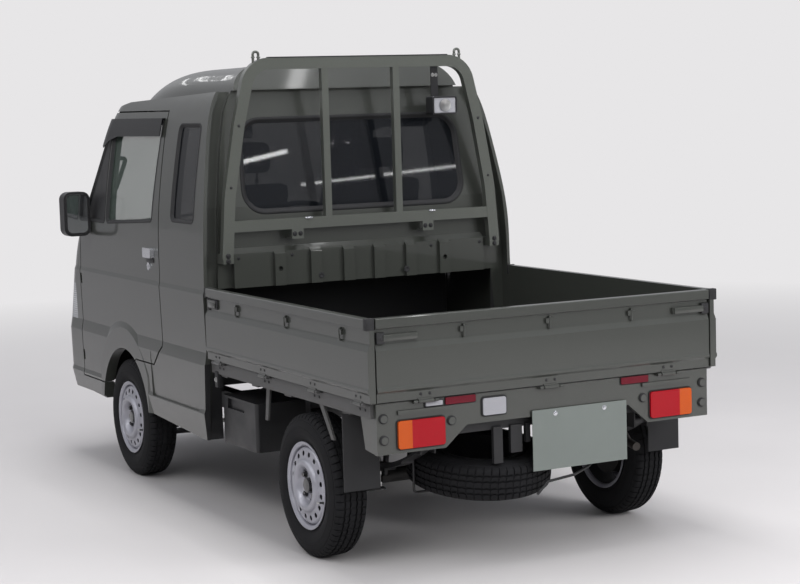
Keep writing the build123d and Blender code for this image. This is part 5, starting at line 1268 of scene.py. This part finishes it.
def make_under_details():
    """Spring clamps and pads, differential cover, exhaust hangers and the bed's brackets beside the cab."""
    piece = Piece("axle_details", "truck", "dark_steel", chassis_paint, cast, zinc, rubber)
    for s in (-1, 1):
        for dx in (-0.040, 0.040):
            x = AXLE_REAR_X + dx
            hoop = ((0.424, 0.238), (0.424, 0.348), (0.486, 0.348), (0.486, 0.238))
            piece.tube(bend_path([(x, s * y, z) for y, z in hoop], 0.018), 0.0052, 2, 10)
            for y in (0.424, 0.486):
                piece.bolt((x, s * y, 0.234), DOWN, 0.0088, 2, height=0.009)
        block(piece, (AXLE_REAR_X, s * 0.455, 0.232), (0.060, 0.043, 0.004), 0, 0.002)
        block(piece, (AXLE_REAR_X, s * 0.4025, 0.445), (0.028, 0.0225, 0.025), 3, 0.008, segments=4)
    for k in range(10):
        a = 2 * math.pi * k / 10
        at = (AXLE_REAR_X - 0.096, DIFFERENTIAL_Y + 0.076 * math.cos(a), HUB_Z + 0.076 * math.sin(a))
        piece.bolt(at, AFT, 0.0062, 1, height=0.006)
    cover = [(-0.006, 0.088), (0.000, 0.088), (0.010, 0.070), (0.018, 0.040), (0.020, 0.0)]
    piece.lathe(cover, (AXLE_REAR_X - 0.088, DIFFERENTIAL_Y, HUB_Z), AFT, 1, 36)
    piece.bolt((AXLE_REAR_X - 0.106, DIFFERENTIAL_Y, HUB_Z - 0.030), AFT, 0.0090, 2, height=0.006)
    for x in (-0.700, -1.380):
        piece.box((x - 0.010, -0.345, 0.470), (x + 0.010, -0.330, 0.520), 3, 0.005)
    for s in (-1, 1):
        piece.box((-0.292, s * 0.690, 0.534), (-0.262, s * 0.7175, 0.600), 0, 0.003)
        piece.bolt((-0.277, s * 0.7175, 0.566), (0, s, 0), 0.0075, 2, height=0.005)
    piece.done()
    piece = Piece("hinge_straps", "truck", "bed_paint", chassis_paint)
    for s in (-1, 1):
        screw_pairs(piece, [(x, s * 0.7123, 0.6165) for x in SIDE_HINGE_XS], 0.040, (0, s, 0), 0.0050, 0)
    piece.done()


make_wheels()
make_seals()
make_seats()
make_screen_details()
make_roof_grips()
make_dash_details()
make_controls()
make_nose_details()
make_bed_details()
make_rail_clips()
make_under_details()
for side, sign in SIDES:
    make_side_gate_fittings(side, sign)
    make_door_details(side, sign)
make_tailgate_fittings()
make_rear_fittings()
make_guard_fittings()
make_work_lamp_details()


# Stage


def blend_backdrop(tree, kind, output, shading, share):
    """Blends the backdrop's light into a shading by a share, and gives the result to the output."""
    glow = add_node(tree, kind, {"Color": BACKDROP_COLOUR, "Strength": 1.0})
    mix = add_node(tree, "MixShader", {0: share, 1: shading, 2: glow.outputs[0]})
    plug(tree, output.inputs["Surface"], mix.outputs["Shader"])


def make_stage():
    size = 60.0
    mesh = bpy.data.meshes.new("floor")
    corners = [(x * size, y * size, 0.0) for x, y in ((-1, -1), (1, -1), (1, 1), (-1, 1))]
    mesh.from_pydata(corners, [], [(0, 1, 2, 3)])
    floor = new_object("floor", mesh)
    material, tree, shader, coords = new_material("floor_stage")
    drift = ramp(tree, noise(tree, coords, 0.8, 6.0), 0.3, 0.7, 0.0, 1.0)
    base = mix_colour(tree, drift, tint(FLOOR_COLOUR, 0.95), FLOOR_COLOUR)
    feed(tree, shader, {"Base Color": base, "Roughness": 0.55, "Specular IOR Level": 0.25})
    # far away the floor takes the backdrop's colour, for the camera and in part for reflections of it
    rays = add_node(tree, "LightPath", {}).outputs
    distance = add_node(tree, "VectorMath", {0: coords}, operation="LENGTH").outputs["Value"]
    mirrored = calc(tree, "MULTIPLY", rays["Is Glossy Ray"], REFLECTED_SHARE)
    seen = calc(tree, "MAXIMUM", rays["Is Camera Ray"], mirrored)
    fade = calc(tree, "MULTIPLY", ramp(tree, distance, *FLOOR_FADE, 0.0, 1.0), seen)
    output = [n for n in tree.nodes if n.type == "OUTPUT_MATERIAL"][0]
    blend_backdrop(tree, "Emission", output, shader.outputs["BSDF"], fade)
    mesh.materials.append(material)


def make_world():
    """Soft light from above, and the backdrop for the camera, through glass and in part in reflections."""
    world = bpy.data.worlds.new("studio")
    world.use_nodes = True
    tree = world.node_tree
    tree.nodes.clear()
    coords = add_node(tree, "TexCoord", {}).outputs["Generated"]
    height = add_node(tree, "SeparateXYZ", {"Vector": coords}).outputs["Z"]
    strength = ramp(tree, height, 0.0, 0.75, HORIZON, WORLD_STRENGTH)
    dim = add_node(tree, "Background", {"Color": WORLD_COLOUR, "Strength": strength})
    rays = add_node(tree, "LightPath", {}).outputs
    straight = calc(tree, "MAXIMUM", rays["Is Camera Ray"], rays["Is Transmission Ray"])
    share = calc(tree, "MULTIPLY_ADD", rays["Is Glossy Ray"], REFLECTED_SHARE, straight, use_clamp=True)
    output = add_node(tree, "OutputWorld", {})
    blend_backdrop(tree, "Background", output, dim.outputs["Background"], share)
    bpy.context.scene.world = world


def make_light(name, at, toward, size, watts, reflected=False):
    data = bpy.data.lights.new(name, "AREA")
    data.shape = "RECTANGLE"
    data.size, data.size_y = size
    data.energy = watts
    light = new_object(name, data)
    light.location = at
    light.visible_glossy = reflected
    light.visible_camera = False
    light.rotation_mode = "QUATERNION"
    light.rotation_quaternion = (Vector(toward) - Vector(at)).to_track_quat("-Z", "Y")
    return light


def make_tube(name, a, b, width, watts):
    """A thin hall lamp from a to b, which shows as a streak in the rear window."""
    a, b = Vector(a), Vector(b)
    middle, along = (a + b) / 2.0, (b - a).normalized()
    light = make_light(name, middle, TUBES_TOWARD, ((b - a).length, width), watts, reflected=True)
    back = middle - Vector(TUBES_TOWARD)
    back = (back - along * back.dot(along)).normalized()
    light.rotation_quaternion = Matrix((along, back.cross(along), back)).transposed().to_quaternion()


def make_lights():
    make_light("key", (-5.5, 5.0, 4.6), (0.0, 0.0, 0.8), (4.0, 2.5), KEY_WATTS)
    make_light("fill", (-6.0, -4.0, 3.0), (0.0, 0.0, 0.8), (4.0, 2.5), FILL_WATTS)
    make_light("top", (0.0, 0.2, 5.5), (0.0, 0.0, 0.0), (6.0, 1.6), TOP_WATTS)
    for name, at, toward, size, watts in (
        ("overhead_left", (-0.5, -0.5, 5.5), (-0.5, -0.5, 0.0), (6.0, 0.12), OVERHEAD_WATTS),
        ("overhead_right", (-0.5, -1.9, 5.5), (-0.5, -1.9, 0.0), (6.0, 0.12), OVERHEAD_WATTS),
        ("front_low", (7.5, 0.6, 4.15), (0.0, 0.5, 1.4), (1.8, 0.08), FRONT_WATTS),
        ("front_high", (7.5, 0.5, 4.65), (0.0, 0.5, 1.4), (1.4, 0.08), FRONT_WATTS),
        ("strip_left", (-1.0, 3.4, 3.6), (0.0, 0.0, 0.9), (7.0, 0.16), STRIP_WATTS),
        ("strip_rear", (-5.2, 0.6, 4.2), (-1.0, 0.0, 0.9), (0.16, 6.0), STRIP_WATTS),
    ):
        make_light(name, at, toward, size, watts, reflected=True)
    for name, a, b, width, share in (
        ("tube_upper", (-8.2, -2.98, 3.80), (-8.2, -3.51, 3.90), 0.035, 1.6),
        ("tube_long", (-8.2, -3.59, 3.577), (-8.2, -5.29, 3.689), 0.022, 2.0),
        ("tube_short_left", (-8.2, -3.956, 4.093), (-8.2, -4.021, 4.168), 0.055, 0.6),
        ("tube_short_right", (-8.2, -4.098, 4.088), (-8.2, -4.184, 4.163), 0.055, 0.6),
    ):
        make_tube(name, a, b, width, share * TUBE_WATTS)


def make_camera():
    azimuth, elevation, roll = (math.radians(a) for a in (CAMERA_AZIMUTH, CAMERA_ELEVATION, CAMERA_ROLL))
    level = math.cos(elevation)
    forward = Vector((level * math.cos(azimuth), level * math.sin(azimuth), math.sin(elevation)))
    right = forward.cross(Vector(UP)).normalized()
    up = right.cross(forward)
    turned_right = math.cos(roll) * right + math.sin(roll) * up
    turned_up = math.cos(roll) * up - math.sin(roll) * right
    data = bpy.data.cameras.new("camera")
    data.lens = CAMERA_LENS
    data.sensor_width = 36.0
    camera = new_object("camera", data)
    turn = Matrix((turned_right, turned_up, -forward)).transposed()
    camera.matrix_world = Matrix.Translation(CAMERA_AT) @ turn.to_4x4()
    bpy.context.scene.camera = camera


make_stage()
make_world()
make_lights()
make_camera()
bpy.context.scene.view_settings.view_transform = "Standard"
